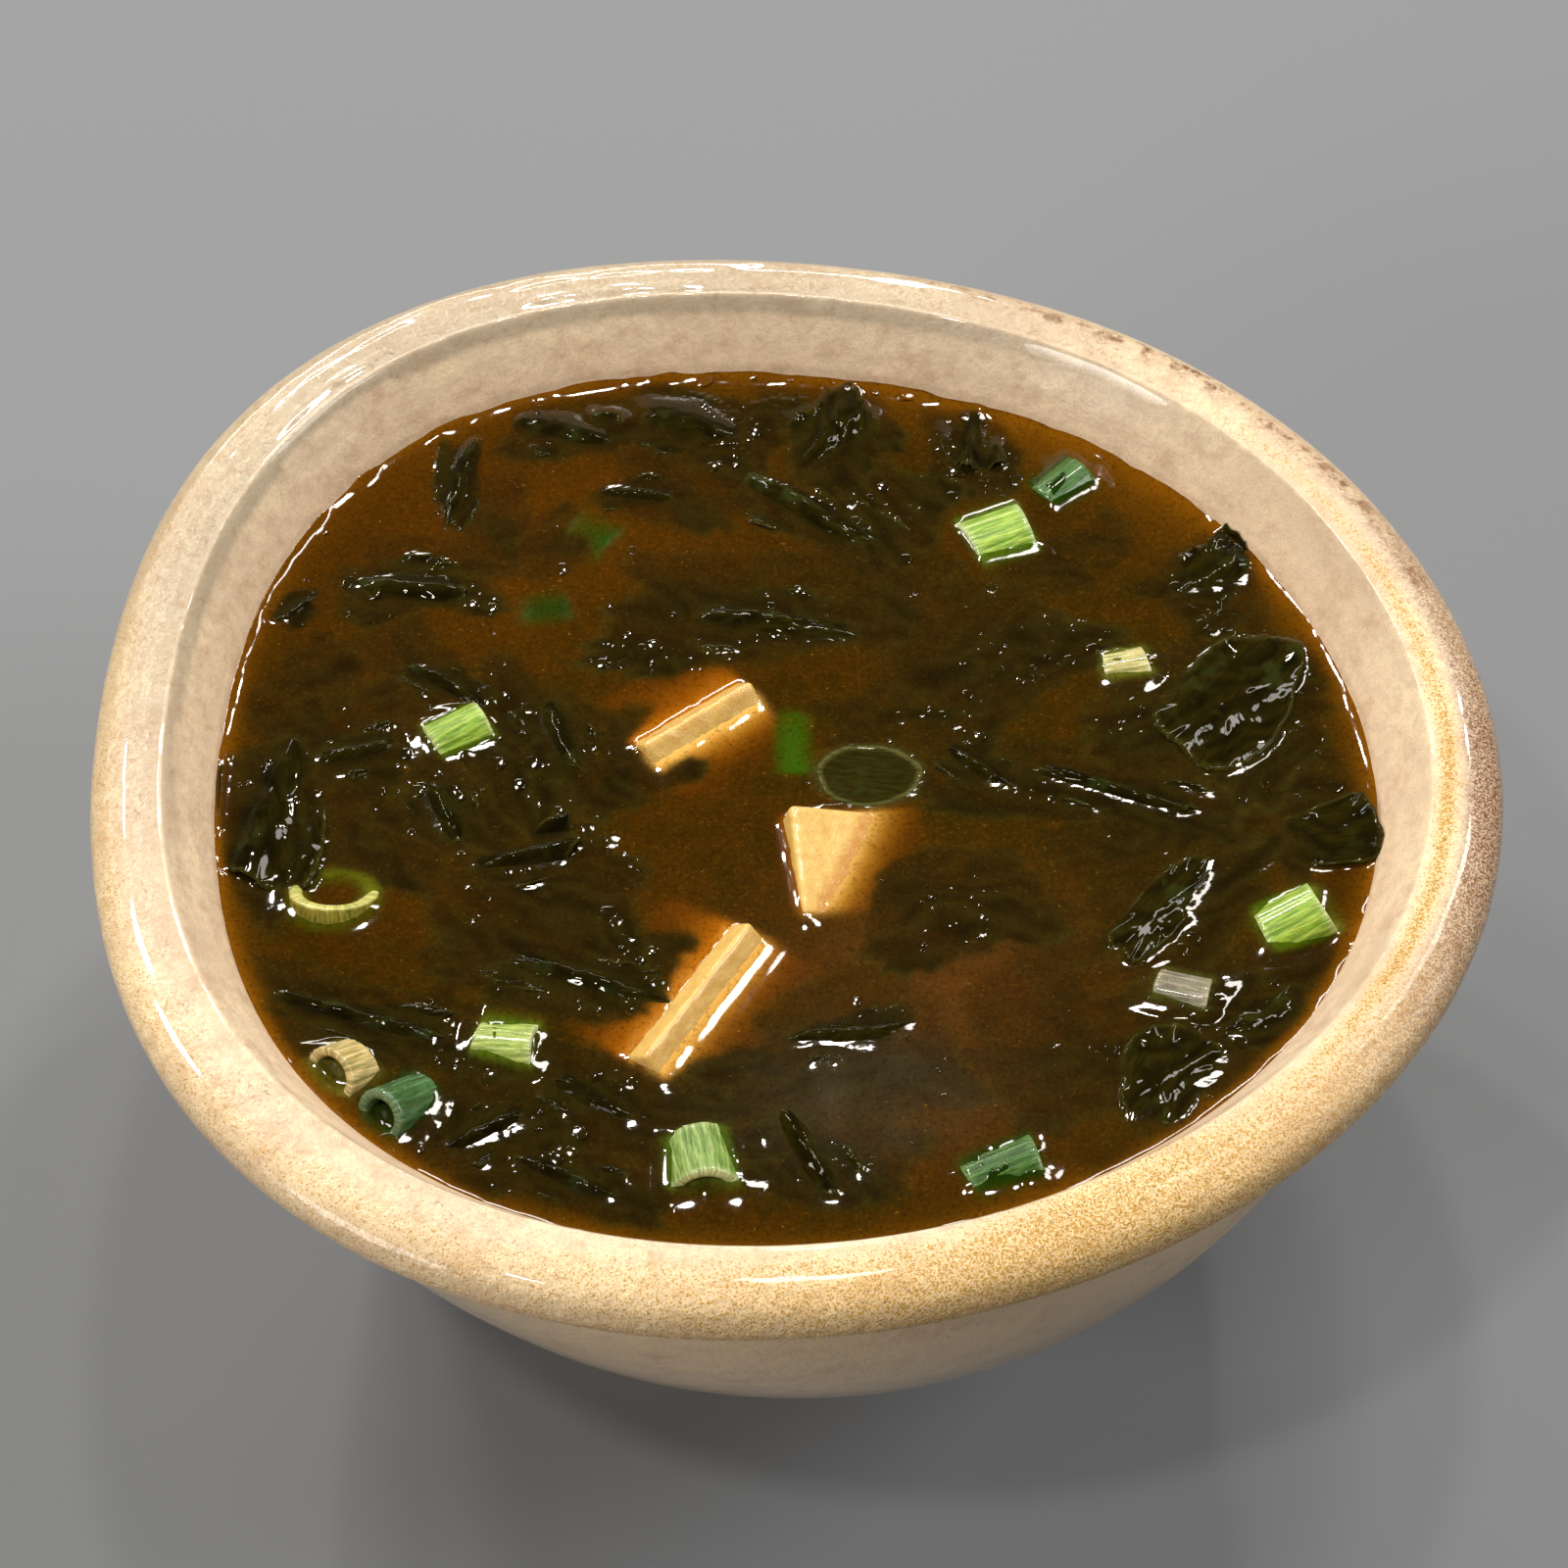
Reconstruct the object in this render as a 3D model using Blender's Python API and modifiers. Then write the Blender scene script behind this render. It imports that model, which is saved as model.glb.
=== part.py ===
"""Miso soup with tofu, wakame and spring onion, in a hand-thrown stoneware bowl.

The bowl stands on its foot ring at the origin, +Z up, sizes in metres. The bowl and the broth are
turned, then pushed out of round by the same soft lobes. The broth is cut round every piece that
breaks its surface: three tofu dice, the wakame leaves and the spring onion slices.
"""

import math

import bmesh
import bpy
from mathutils import Euler, Matrix, Vector

# ---- bowl ----
BOWL_HEIGHT = 0.060
RIM_RADIUS = 0.0651          # mean outer radius of the rolled rim
ROLL_WIDTH = 0.0042
ROLL_HEIGHT = 0.0029
ROLL_STEPS = 10
ROLL_TURN = (156.0, -42.0)   # where the roll starts and ends, in degrees round its middle
ROLL_TO_BODY = 0.0060        # the body starts this far in from the rim
BODY_TOP = 0.0530
FOOT_TOP = 0.0095
FOOT_RADIUS = 0.0330
FOOT_WIDTH = 0.0048
FOOT_RECESS = 0.0036
BASE_THICKNESS = 0.0090      # inner floor above the table
BODY_ROUNDNESS = (2.0, 1.5)  # powers of the belly curve
BODY_SHARES = (0.0, 0.28, 0.52, 0.73, 0.89, 1.0)
TURN_STEPS = 48

# Each lobe: times round, height, bearing in degrees
RIM_LOBES = ((2, 0.00092, -33.0), (3, 0.00160, 1.5), (4, 0.00076, -44.0), (5, 0.00027, -10.0))
LOBES_FROM = 0.024           # the lobes grow from nothing at this height ...
LOBES_FULL = 0.054           # ... to their full height here

# ---- broth ----
SOUP_DEPTH = 0.0080          # broth level below the rim
SOUP_LEVEL = BOWL_HEIGHT - SOUP_DEPTH
SOUP_RADIUS = 0.0541         # mean radius of the wall at the broth level
WALL_FLARE = (0.35, 30.0)    # slope of the wall at the broth level, and how it opens above
FLOOR_CURVE_STEPS = 6
GAP = 0.0003                 # between pieces that touch

# ---- tofu: name, ridge middle, size, heading, roll and pitch in degrees, rise of the ridge ----
TOFU_EDGE = 0.0006
TOFU = (
    ("tofu_back", (-0.0077, 0.0058), (0.0128, 0.0130, 0.0120), 38.0, 48.0, 0.0, 0.0018),
    ("tofu_middle", (0.0015, -0.0115), (0.0115, 0.0140, 0.0125), -84.0, 73.0, 9.0, 0.0013),
    ("tofu_near", (-0.0072, -0.0266), (0.0176, 0.0130, 0.0120), 58.5, 50.0, 0.0, 0.0018),
)

# ---- spring onion: name, middle, outer radius, wall, length, heading, tilt, depth of the axis ----
ONION_SIDES = 10
ONION = (
    ("onion_a", (-0.0187, 0.0306), 0.0028, 0.0008, 0.0048, -30.0, 8.0, 0.0027),
    ("onion_b", (-0.0227, 0.0212), 0.0023, 0.0007, 0.0042, 10.0, 4.0, 0.0022),
    ("onion_c", (0.0284, 0.0380), 0.0029, 0.0009, 0.0052, 42.0, 6.0, 0.0018),
    ("onion_d", (0.0217, 0.0309), 0.0035, 0.0010, 0.0064, 22.0, 5.0, 0.0018),
    ("onion_e", (0.0332, 0.0138), 0.0020, 0.0007, 0.0042, 9.0, 6.0, 0.0010),
    ("onion_f", (-0.0303, 0.0052), 0.0028, 0.0009, 0.0052, 30.0, 6.0, 0.0013),
    ("onion_g", (-0.0406, -0.0150), 0.0041, 0.0012, 0.0034, 88.0, 66.0, 0.0014),
    ("onion_h", (-0.0240, -0.0311), 0.0025, 0.0008, 0.0054, -12.0, 10.0, 0.0013),
    ("onion_i", (-0.0330, -0.0380), 0.0026, 0.0009, 0.0054, 50.0, -30.0, 0.0004),
    ("onion_j", (-0.0069, -0.0438), 0.0033, 0.0010, 0.0058, -80.0, 12.0, 0.0016),
    ("onion_k", (0.0467, -0.0174), 0.0030, 0.0010, 0.0060, 20.0, 20.0, 0.0009),
    ("onion_l", (0.0361, -0.0254), 0.0022, 0.0007, 0.0044, -18.0, 6.0, 0.0011),
    ("onion_m", (0.0194, -0.0443), 0.0026, 0.0008, 0.0064, 22.0, 8.0, 0.0016),
    ("onion_n", (-0.0381, -0.0341), 0.0027, 0.0008, 0.0034, 45.0, -26.0, 0.0002),
)

# ---- wakame: name, middle, length, width, heading, rise, lift along, crease, wobble phase ----
LEAF_THICKNESS = 0.0009
LEAF_SPOKES = 12
LEAF_RINGS = (0.55, 1.0)
LEAF_WOBBLE = ((3, 0.10), (5, 0.06))
WALL_CLEARANCE = 0.0019      # broth left between a leaf and the bowl
LEAVES = (
    ("wakame_far_left_strip", (-0.0322, 0.0388), 0.0122, 0.0046, -88.0, 0.0006, 0.0, 0.0003, 0.4),
    ("wakame_left_back", (-0.0365, 0.0236), 0.0125, 0.0072, 14.0, 0.0006, 0.0004, 0.0004, 1.3),
    ("wakame_far_a", (-0.0216, 0.0455), 0.0105, 0.0060, 2.0, 0.0008, 0.0, 0.0005, 2.2),
    ("wakame_far_b", (-0.0098, 0.0465), 0.0100, 0.0088, 10.0, 0.0007, 0.0, 0.0004, 0.9),
    ("wakame_far_c", (0.0058, 0.0445), 0.0120, 0.0092, 84.0, 0.0006, 0.0006, 0.0003, 2.8),
    ("wakame_far_d", (0.0192, 0.0440), 0.0088, 0.0052, -76.0, 0.0012, 0.0006, 0.0006, 1.9),
    ("wakame_back_fold", (0.0028, 0.0335), 0.0160, 0.0072, -20.0, 0.0008, 0.0, 0.0006, 0.2),
    ("wakame_middle", (-0.0008, 0.0190), 0.0165, 0.0078, 6.0, 0.0005, 0.0, 0.0004, 1.1),
    ("wakame_right_back", (0.0430, 0.0258), 0.0100, 0.0066, 58.0, 0.0009, 0.0006, 0.0004, 2.6),
    ("wakame_right", (0.0432, 0.0092), 0.0180, 0.0112, 58.0, 0.0009, 0.0, 0.0006, 0.7),
    ("wakame_right_edge", (0.0516, -0.0078), 0.0078, 0.0072, 8.0, 0.0021, 0.0014, 0.0003, 1.6),
    ("wakame_right_band", (0.0315, -0.0022), 0.0165, 0.0044, -10.0, 0.0007, 0.0, 0.0005, 2.1),
    ("wakame_right_near", (0.0345, -0.0165), 0.0140, 0.0048, 54.0, 0.0005, 0.0, 0.0003, 0.5),
    ("wakame_near_right", (0.0335, -0.0342), 0.0112, 0.0080, 64.0, 0.0008, 0.0, 0.0006, 1.4),
    ("wakame_near_right_edge", (0.0438, -0.0290), 0.0090, 0.0046, 40.0, 0.0006, 0.0, 0.0003, 2.4),
    ("wakame_left_edge", (-0.0478, -0.0050), 0.0170, 0.0080, -80.0, 0.0009, 0.0004, 0.0004, 0.1),
    ("wakame_near_left", (-0.0371, -0.0283), 0.0170, 0.0040, -9.0, 0.0008, 0.0, 0.0004, 1.8),
    ("wakame_strip", (-0.0184, -0.0240), 0.0160, 0.0046, -9.0, 0.0005, 0.0, 0.0003, 0.8),
    ("wakame_fin", (-0.0230, -0.0105), 0.0110, 0.0052, 30.0, 0.0012, 0.0006, 0.0007, 2.0),
    ("wakame_left_middle", (-0.0310, -0.0042), 0.0080, 0.0054, -42.0, 0.0006, 0.0, 0.0004, 1.2),
    ("wakame_tofu_side", (-0.0205, 0.0052), 0.0095, 0.0056, -50.0, 0.0005, 0.0, 0.0004, 2.9),
    ("wakame_near_middle", (0.0062, -0.0300), 0.0110, 0.0046, 21.0, 0.0006, 0.0, 0.0003, 0.3),
    ("wakame_near_edge", (0.0026, -0.0432), 0.0104, 0.0054, -46.0, 0.0007, 0.0, 0.0004, 1.7),
    ("wakame_left_tip", (-0.0472, 0.0207), 0.0050, 0.0036, 70.0, 0.0005, 0.0, 0.0002, 0.6),
    ("wakame_left_band", (-0.0316, 0.0113), 0.0100, 0.0034, -24.0, 0.0006, 0.0, 0.0003, 1.0),
    ("wakame_left_inner", (-0.0394, 0.0026), 0.0080, 0.0050, 38.0, 0.0004, 0.0, 0.0003, 2.3),
    ("wakame_left_far", (-0.0142, 0.0362), 0.0078, 0.0042, 14.0, 0.0005, 0.0, 0.0004, 1.5),
    ("wakame_right_middle", (0.0184, 0.0004), 0.0080, 0.0042, -22.0, 0.0005, 0.0, 0.0004, 0.5),
    ("wakame_near_left_a", (-0.0252, -0.0404), 0.0080, 0.0046, 52.0, 0.0006, 0.0, 0.0004, 2.7),
    ("wakame_near_left_b", (-0.0166, -0.0370), 0.0084, 0.0046, -14.0, 0.0006, 0.0, 0.0004, 0.9),
    ("wakame_near_left_edge", (-0.0180, -0.0455), 0.0100, 0.0042, -12.0, 0.0006, 0.0, 0.0004, 2.0),
    ("wakame_round", (0.0082, -0.0005), 0.0098, 0.0074, 0.0, 0.0002, 0.0, 0.0, 3.1),
)

PARTS = "miso_soup_bowl"
CUTTERS = "cutters"


# ---- the shape that the bowl and the broth share ----

def smoothStep(low, high, value):
    t = min(max((value - low) / (high - low), 0.0), 1.0)
    return t * t * (3.0 - 2.0 * t)


def lobeHeight(bearing):
    return sum(size * math.cos(times * (bearing - math.radians(at))) for times, size, at in RIM_LOBES)


def lobeShare(radius, z):
    """How much of the lobes a point feels: all of it at the rim, none on the axis or at the foot."""
    return radius / RIM_RADIUS * smoothStep(LOBES_FROM, LOBES_FULL, z)


def rimMiddle():
    """The middle of the lobed rim's box, which is moved onto the Z axis."""
    xs = []
    ys = []
    for i in range(TURN_STEPS):
        bearing = math.tau * i / TURN_STEPS
        reach = RIM_RADIUS + lobeHeight(bearing)
        xs.append(reach * math.cos(bearing))
        ys.append(reach * math.sin(bearing))
    return Vector(((min(xs) + max(xs)) / 2, (min(ys) + max(ys)) / 2, 0.0))


SHIFT = rimMiddle()


def innerRadius(z):
    """Mean radius of the bowl's inner wall at a height."""
    if z >= SOUP_LEVEL:
        up = z - SOUP_LEVEL
        return SOUP_RADIUS + WALL_FLARE[0] * up + WALL_FLARE[1] * up * up
    depth = SOUP_LEVEL - BASE_THICKNESS
    ball = (SOUP_RADIUS ** 2 + depth ** 2) / (2 * depth)
    down = BASE_THICKNESS + ball - z
    return math.sqrt(max(ball * ball - down * down, 0.0))


def wallAt(bearing, z):
    """Radius of the lobed inner wall in one direction."""
    radius = innerRadius(z)
    return radius + lobeHeight(bearing) * lobeShare(radius, z)


def floorCurve(inset):
    """The inner wall from the broth level down to the axis, moved in by a gap."""
    points = []
    for i in range(FLOOR_CURVE_STEPS):
        share = math.cos(math.pi / 2 * i / FLOOR_CURVE_STEPS)
        z = BASE_THICKNESS + (SOUP_LEVEL - BASE_THICKNESS) * share ** 1.6
        points.append((innerRadius(z) - inset, z + (inset if i else 0.0)))
    points.append((0.0, BASE_THICKNESS + inset))
    return points


def bowlProfile():
    """From the middle of the floor up the wall, over the roll and down to the foot."""
    points = list(reversed(floorCurve(0.0)))
    wallTop = BOWL_HEIGHT - 0.0012
    for share in (0.4, 0.75):
        z = SOUP_LEVEL + (wallTop - SOUP_LEVEL) * share
        points.append((innerRadius(z), z))
    middle = (RIM_RADIUS - ROLL_WIDTH, BOWL_HEIGHT - ROLL_HEIGHT)
    start, end = (math.radians(turn) for turn in ROLL_TURN)
    for i in range(ROLL_STEPS):
        turn = start + (end - start) * i / (ROLL_STEPS - 1)
        across = middle[0] + ROLL_WIDTH * math.cos(turn)
        points.append((across, middle[1] + ROLL_HEIGHT * math.sin(turn)))
    bodyRadius = RIM_RADIUS - ROLL_TO_BODY
    points.append((bodyRadius + 0.0018, BODY_TOP + 0.0010))
    for share in BODY_SHARES:
        bulge = (1.0 - share ** BODY_ROUNDNESS[0]) ** (1.0 / BODY_ROUNDNESS[1])
        z = BODY_TOP + (FOOT_TOP - BODY_TOP) * share
        points.append((FOOT_RADIUS + (bodyRadius - FOOT_RADIUS) * bulge, z))
    points.append((FOOT_RADIUS - 0.0006, 0.0008))
    points.append((FOOT_RADIUS - 0.0014, 0.0))
    points.append((FOOT_RADIUS - FOOT_WIDTH, 0.0))
    points.append((FOOT_RADIUS - FOOT_WIDTH - 0.0008, FOOT_RECESS))
    points.append((0.0, FOOT_RECESS + 0.0006))
    return points


def soupProfile():
    """From the middle of the surface out to the wall and down to the axis."""
    return [(0.0, SOUP_LEVEL)] + floorCurve(GAP)


# ---- making pieces ----

def material(name, colour, roughness, metallic=0.0):
    made = bpy.data.materials.new(name)
    made.use_nodes = True
    shader = made.node_tree.nodes["Principled BSDF"]
    shader.inputs["Base Color"].default_value = (*colour, 1.0)
    shader.inputs["Roughness"].default_value = roughness
    shader.inputs["Metallic"].default_value = metallic
    return made


def collection(name):
    made = bpy.data.collections.new(name)
    bpy.context.scene.collection.children.link(made)
    return made


def addObject(name, mesh, home, finish=None):
    made = bpy.data.objects.new(name, mesh)
    home.objects.link(made)
    if finish:
        mesh.materials.append(finish)
    return made


def meshFrom(name, points, edges=(), faces=()):
    mesh = bpy.data.meshes.new(name)
    mesh.from_pydata(points, edges, faces)
    mesh.update()
    return mesh


def applied(obj):
    """The object with its modifiers made part of its mesh."""
    graph = bpy.context.evaluated_depsgraph_get()
    mesh = bpy.data.meshes.new_from_object(obj.evaluated_get(graph))
    obj.modifiers.clear()
    obj.data = mesh
    return obj


def turned(name, profile, home, finish):
    """A profile turned round the Z axis, then pushed out of round by the lobes."""
    points = [(x, 0.0, z) for x, z in profile]
    edges = [(i, i + 1) for i in range(len(points) - 1)]
    obj = addObject(name, meshFrom(name, points, edges), home, finish)
    screw = obj.modifiers.new("Screw", "SCREW")
    screw.steps = TURN_STEPS
    screw.render_steps = TURN_STEPS
    screw.use_merge_vertices = True
    screw.merge_threshold = 0.00001
    screw.use_smooth_shade = True
    applied(obj)
    for vertex in obj.data.vertices:
        x, y, z = vertex.co
        radius = math.hypot(x, y)
        if radius > 0:
            grown = radius + lobeHeight(math.atan2(y, x)) * lobeShare(radius, z)
            vertex.co = Vector((x * grown / radius, y * grown / radius, z)) - SHIFT * lobeShare(radius, z)
    smooth(obj)
    return obj


def smooth(obj, angle=38.0):
    obj.data.shade_smooth()
    obj.data.set_sharp_from_angle(angle=math.radians(angle))


def placed(x, y, z):
    """A point given from the middle of the lobed rim, at a height from the broth."""
    return Vector((x, y, SOUP_LEVEL + z)) - SHIFT * lobeShare(SOUP_RADIUS, SOUP_LEVEL)


def cut(target, cutter):
    cutter.hide_render = True
    cutter.display_type = "WIRE"
    hole = target.modifiers.new("Cut " + cutter.name, "BOOLEAN")
    hole.operation = "DIFFERENCE"
    hole.solver = "EXACT"
    hole.object = cutter


# ---- tofu ----

def tofuBlock(name, size, grow, home, finish=None):
    """A die with one long edge on its own X axis, the rest of it below and to the -Y side."""
    length, width, height = size
    bm = bmesh.new()
    bmesh.ops.create_cube(bm, size=1.0)
    scale = Vector((length + 2 * grow, width + 2 * grow, height + 2 * grow))
    bmesh.ops.scale(bm, vec=scale, verts=bm.verts)
    bmesh.ops.translate(bm, vec=Vector((0.0, -width / 2, -height / 2)), verts=bm.verts)
    mesh = bpy.data.meshes.new(name)
    bm.to_mesh(mesh)
    bm.free()
    return addObject(name, mesh, home, finish)


def poseTofu(obj, ridge, heading, roll, pitch, rise):
    turn = Euler((math.radians(roll), math.radians(pitch), math.radians(heading)), "XYZ")
    obj.location = placed(*ridge, rise)
    obj.rotation_euler = turn


def makeTofu(parts, cutters, soup, finish):
    for name, ridge, size, heading, roll, pitch, rise in TOFU:
        block = tofuBlock(name, size, 0.0, parts, finish)
        poseTofu(block, ridge, heading, roll, pitch, rise)
        edge = block.modifiers.new("Edge", "BEVEL")
        edge.width = TOFU_EDGE
        edge.segments = 2
        pocket = tofuBlock(name + "_pocket", size, GAP, cutters)
        poseTofu(pocket, ridge, heading, roll, pitch, rise)
        cut(soup, pocket)


# ---- spring onion ----

def tube(name, radius, length, open_ended, home, finish=None):
    """A slightly flattened, slightly tapered tube along its own X axis."""
    bm = bmesh.new()
    turn = Matrix.Rotation(math.radians(90.0), 4, "Y")
    bmesh.ops.create_cone(bm, cap_ends=not open_ended, segments=ONION_SIDES, radius1=radius,
                          radius2=radius * 0.94, depth=length, matrix=turn)
    bmesh.ops.scale(bm, vec=Vector((1.0, 1.0, 0.90)), verts=bm.verts)
    mesh = bpy.data.meshes.new(name)
    bm.to_mesh(mesh)
    bm.free()
    return addObject(name, mesh, home, finish)


def poseOnion(obj, middle, heading, tilt, depth):
    obj.location = placed(*middle, -depth)
    obj.rotation_euler = Euler((0.0, math.radians(-tilt), math.radians(heading)), "XYZ")


def makeOnion(parts, cutters, soup, finish):
    for name, middle, radius, wall, length, heading, tilt, depth in ONION:
        slice_ = tube(name, radius, length, True, parts, finish)
        poseOnion(slice_, middle, heading, tilt, depth)
        shell = slice_.modifiers.new("Wall", "SOLIDIFY")
        shell.thickness = wall
        shell.offset = -1.0
        smooth(slice_)
        pocket = tube(name + "_pocket", radius + 1.5 * GAP, length + 2 * GAP, False, cutters)
        poseOnion(pocket, middle, heading, tilt, depth)
        cut(soup, pocket)


# ---- wakame ----

def leafPoint(leaf, turn, share, grow):
    """A point of a leaf: round it by an angle, out from its middle by a share of its reach."""
    name, middle, length, width, heading, rise, lift, crease, phase = leaf
    wobble = 1.0 + sum(size * math.sin(times * turn + phase * times) for times, size in LEAF_WOBBLE)
    along = (length / 2 * wobble + grow) * math.cos(turn) * share
    across = (width / 2 * wobble + grow) * math.sin(turn) * share
    facing = math.radians(heading)
    x = middle[0] + along * math.cos(facing) - across * math.sin(facing)
    y = middle[1] + along * math.sin(facing) + across * math.cos(facing)
    u = 2 * along / length
    v = 2 * across / width
    return x, y, rise + lift * u + crease * math.cos(math.pi * (u + 1.4 * v))


def keepOffWall(x, y, z, clearance):
    """Move a point in along its own bearing until it is clear of the bowl's wall."""
    reach = math.hypot(x, y)
    limit = wallAt(math.atan2(y, x), SOUP_LEVEL + z) - clearance
    if reach > limit:
        return x * limit / reach, y * limit / reach
    return x, y


def deepen(bm, faces, depth):
    """Make a closed solid of flat or rolling faces by carrying them straight down."""
    lowered = bmesh.ops.extrude_face_region(bm, geom=faces)["geom"]
    corners = [v for v in lowered if isinstance(v, bmesh.types.BMVert)]
    bmesh.ops.translate(bm, vec=Vector((0.0, 0.0, -depth)), verts=corners)
    bmesh.ops.recalc_face_normals(bm, faces=bm.faces)
    if bm.calc_volume(signed=True) < 0.0:
        bmesh.ops.reverse_faces(bm, faces=bm.faces)


def leafSurface(leaf, home, finish):
    points = [placed(*leafPoint(leaf, 0.0, 0.0, 0.0))]
    for share in LEAF_RINGS:
        for i in range(LEAF_SPOKES):
            x, y, z = leafPoint(leaf, math.tau * i / LEAF_SPOKES, share, 0.0)
            x, y = keepOffWall(x, y, z, WALL_CLEARANCE)
            points.append(placed(x, y, z))
    faces = []
    for i in range(LEAF_SPOKES):
        following = (i + 1) % LEAF_SPOKES
        faces.append((0, 1 + i, 1 + following))
        for ring in range(len(LEAF_RINGS) - 1):
            inner = 1 + ring * LEAF_SPOKES
            outer = inner + LEAF_SPOKES
            faces.append((inner + i, outer + i, outer + following, inner + following))
    obj = addObject(leaf[0], meshFrom(leaf[0], points, (), faces), home, finish)
    bm = bmesh.new()
    bm.from_mesh(obj.data)
    deepen(bm, list(bm.faces), LEAF_THICKNESS)
    bm.to_mesh(obj.data)
    bm.free()
    smooth(obj)
    return obj


def leafPocket(leaf, home):
    """An upright prism round the leaf, down to just under its lowest point."""
    rise, lift, crease = leaf[5], leaf[6], leaf[7]
    depth = SOUP_DEPTH + abs(lift) + crease + LEAF_THICKNESS + 3 * GAP
    bm = bmesh.new()
    ring = []
    for i in range(LEAF_SPOKES):
        x, y, z = leafPoint(leaf, math.tau * i / LEAF_SPOKES, 1.0, 1.5 * GAP)
        x, y = keepOffWall(x, y, 0.0, WALL_CLEARANCE - 1.5 * GAP)
        ring.append(bm.verts.new(placed(x, y, rise + SOUP_DEPTH)))
    deepen(bm, [bm.faces.new(ring)], depth)
    mesh = bpy.data.meshes.new(leaf[0] + "_pocket")
    bm.to_mesh(mesh)
    bm.free()
    return addObject(leaf[0] + "_pocket", mesh, home)


def makeWakame(parts, cutters, soup, finish):
    for leaf in LEAVES:
        leafSurface(leaf, parts, finish)
        cut(soup, leafPocket(leaf, cutters))


def main():
    for obj in list(bpy.data.objects):
        bpy.data.objects.remove(obj, do_unlink=True)
    parts = collection(PARTS)
    cutters = collection(CUTTERS)
    glaze = material("stoneware_glaze", (0.72, 0.58, 0.43), 0.18)
    broth = material("broth", (0.16, 0.07, 0.015), 0.06)
    curd = material("tofu", (0.88, 0.72, 0.46), 0.45)
    leafGreen = material("wakame", (0.02, 0.03, 0.01), 0.15)
    onionGreen = material("spring_onion", (0.24, 0.45, 0.06), 0.25)
    turned("bowl", bowlProfile(), parts, glaze)
    soup = turned("soup", soupProfile(), parts, broth)
    makeTofu(parts, cutters, soup, curd)
    makeOnion(parts, cutters, soup, onionGreen)
    makeWakame(parts, cutters, soup, leafGreen)


main()
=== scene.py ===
import math

import bmesh
import bpy
import numpy as np
from mathutils import Euler, Matrix, Vector
from mathutils.bvhtree import BVHTree
from mathutils.kdtree import KDTree


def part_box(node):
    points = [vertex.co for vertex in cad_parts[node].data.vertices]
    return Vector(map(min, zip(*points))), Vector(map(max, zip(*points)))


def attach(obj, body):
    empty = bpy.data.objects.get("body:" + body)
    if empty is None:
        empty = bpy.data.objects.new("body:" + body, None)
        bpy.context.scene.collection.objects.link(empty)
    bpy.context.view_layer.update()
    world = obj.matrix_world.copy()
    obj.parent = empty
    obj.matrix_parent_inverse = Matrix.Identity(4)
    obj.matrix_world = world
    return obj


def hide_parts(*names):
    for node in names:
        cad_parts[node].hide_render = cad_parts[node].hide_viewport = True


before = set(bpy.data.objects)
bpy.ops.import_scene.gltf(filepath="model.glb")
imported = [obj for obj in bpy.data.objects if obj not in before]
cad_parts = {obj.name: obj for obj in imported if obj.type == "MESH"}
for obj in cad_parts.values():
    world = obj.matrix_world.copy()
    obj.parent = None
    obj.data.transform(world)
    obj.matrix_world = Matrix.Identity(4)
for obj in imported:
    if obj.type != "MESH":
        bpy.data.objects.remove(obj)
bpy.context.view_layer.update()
print("frame loaded:", len(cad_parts), "solids")

mm = 0.001


# colours are given as they look on a screen, 0 to 255
def tint(r, g, b):
    return tuple((c / 255 / 12.92) if c < 11 else ((c / 255 + 0.055) / 1.055) ** 2.4 for c in (r, g, b))


def smoothStep(low, high, value):
    t = np.clip((value - low) / (high - low), 0.0, 1.0)
    return t * t * (3.0 - 2.0 * t)


def blendTo(a, b, share):
    share = np.asarray(share)[..., None]
    return np.asarray(a) * (1.0 - share) + np.asarray(b) * share


# a value from -1 to 1 for each whole place, always the same for one seed
def scatterValue(ix, iy, seed):
    n = (ix.astype(np.int64) * 374761393 + iy.astype(np.int64) * 668265263 + int(seed) * 974711) & 0xFFFFFFFF
    n = ((n ^ (n >> 13)) * 1274126177) & 0xFFFFFFFF
    return ((n ^ (n >> 16)) & 0xFFFF) / 32767.5 - 1.0


# smooth noise of one size
def cloud(x, y, size, seed=0):
    x = np.asarray(x) / size
    y = np.asarray(y) / size
    ix, iy = np.floor(x), np.floor(y)
    fx, fy = x - ix, y - iy
    fx, fy = fx * fx * (3 - 2 * fx), fy * fy * (3 - 2 * fy)
    low = scatterValue(ix, iy, seed) * (1 - fx) + scatterValue(ix + 1, iy, seed) * fx
    high = scatterValue(ix, iy + 1, seed) * (1 - fx) + scatterValue(ix + 1, iy + 1, seed) * fx
    return low * (1 - fy) + high * fy


# noise with finer and fainter layers added
def billow(x, y, size, octaves=4, seed=0, rough=0.5):
    total, share, full = 0.0, 1.0, 0.0
    for i in range(octaves):
        total = total + share * cloud(x, y, size / 2 ** i, seed + 17 * i)
        full += share
        share *= rough
    return total / full


def meshPiece(name, points, faces, material):
    mesh = bpy.data.meshes.new(name)
    mesh.from_pydata([tuple(p) for p in points], (), faces)
    mesh.materials.append(material)
    mesh.shade_smooth()
    mesh.update()
    piece = bpy.data.objects.new(name, mesh)
    bpy.context.scene.collection.objects.link(piece)
    return piece


# a colour at each point
def paint(piece, name, colours):
    layer = piece.data.color_attributes.new(name, "FLOAT_COLOR", "POINT")
    full = np.ones((len(piece.data.vertices), 4), dtype=np.float32)
    full[:, :np.shape(colours)[1]] = colours
    layer.data.foreach_set("color", full.ravel())


# a number at each point
def measure(piece, name, values):
    layer = piece.data.attributes.new(name, "FLOAT", "POINT")
    layer.data.foreach_set("value", np.asarray(values, dtype=np.float32).ravel())


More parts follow.
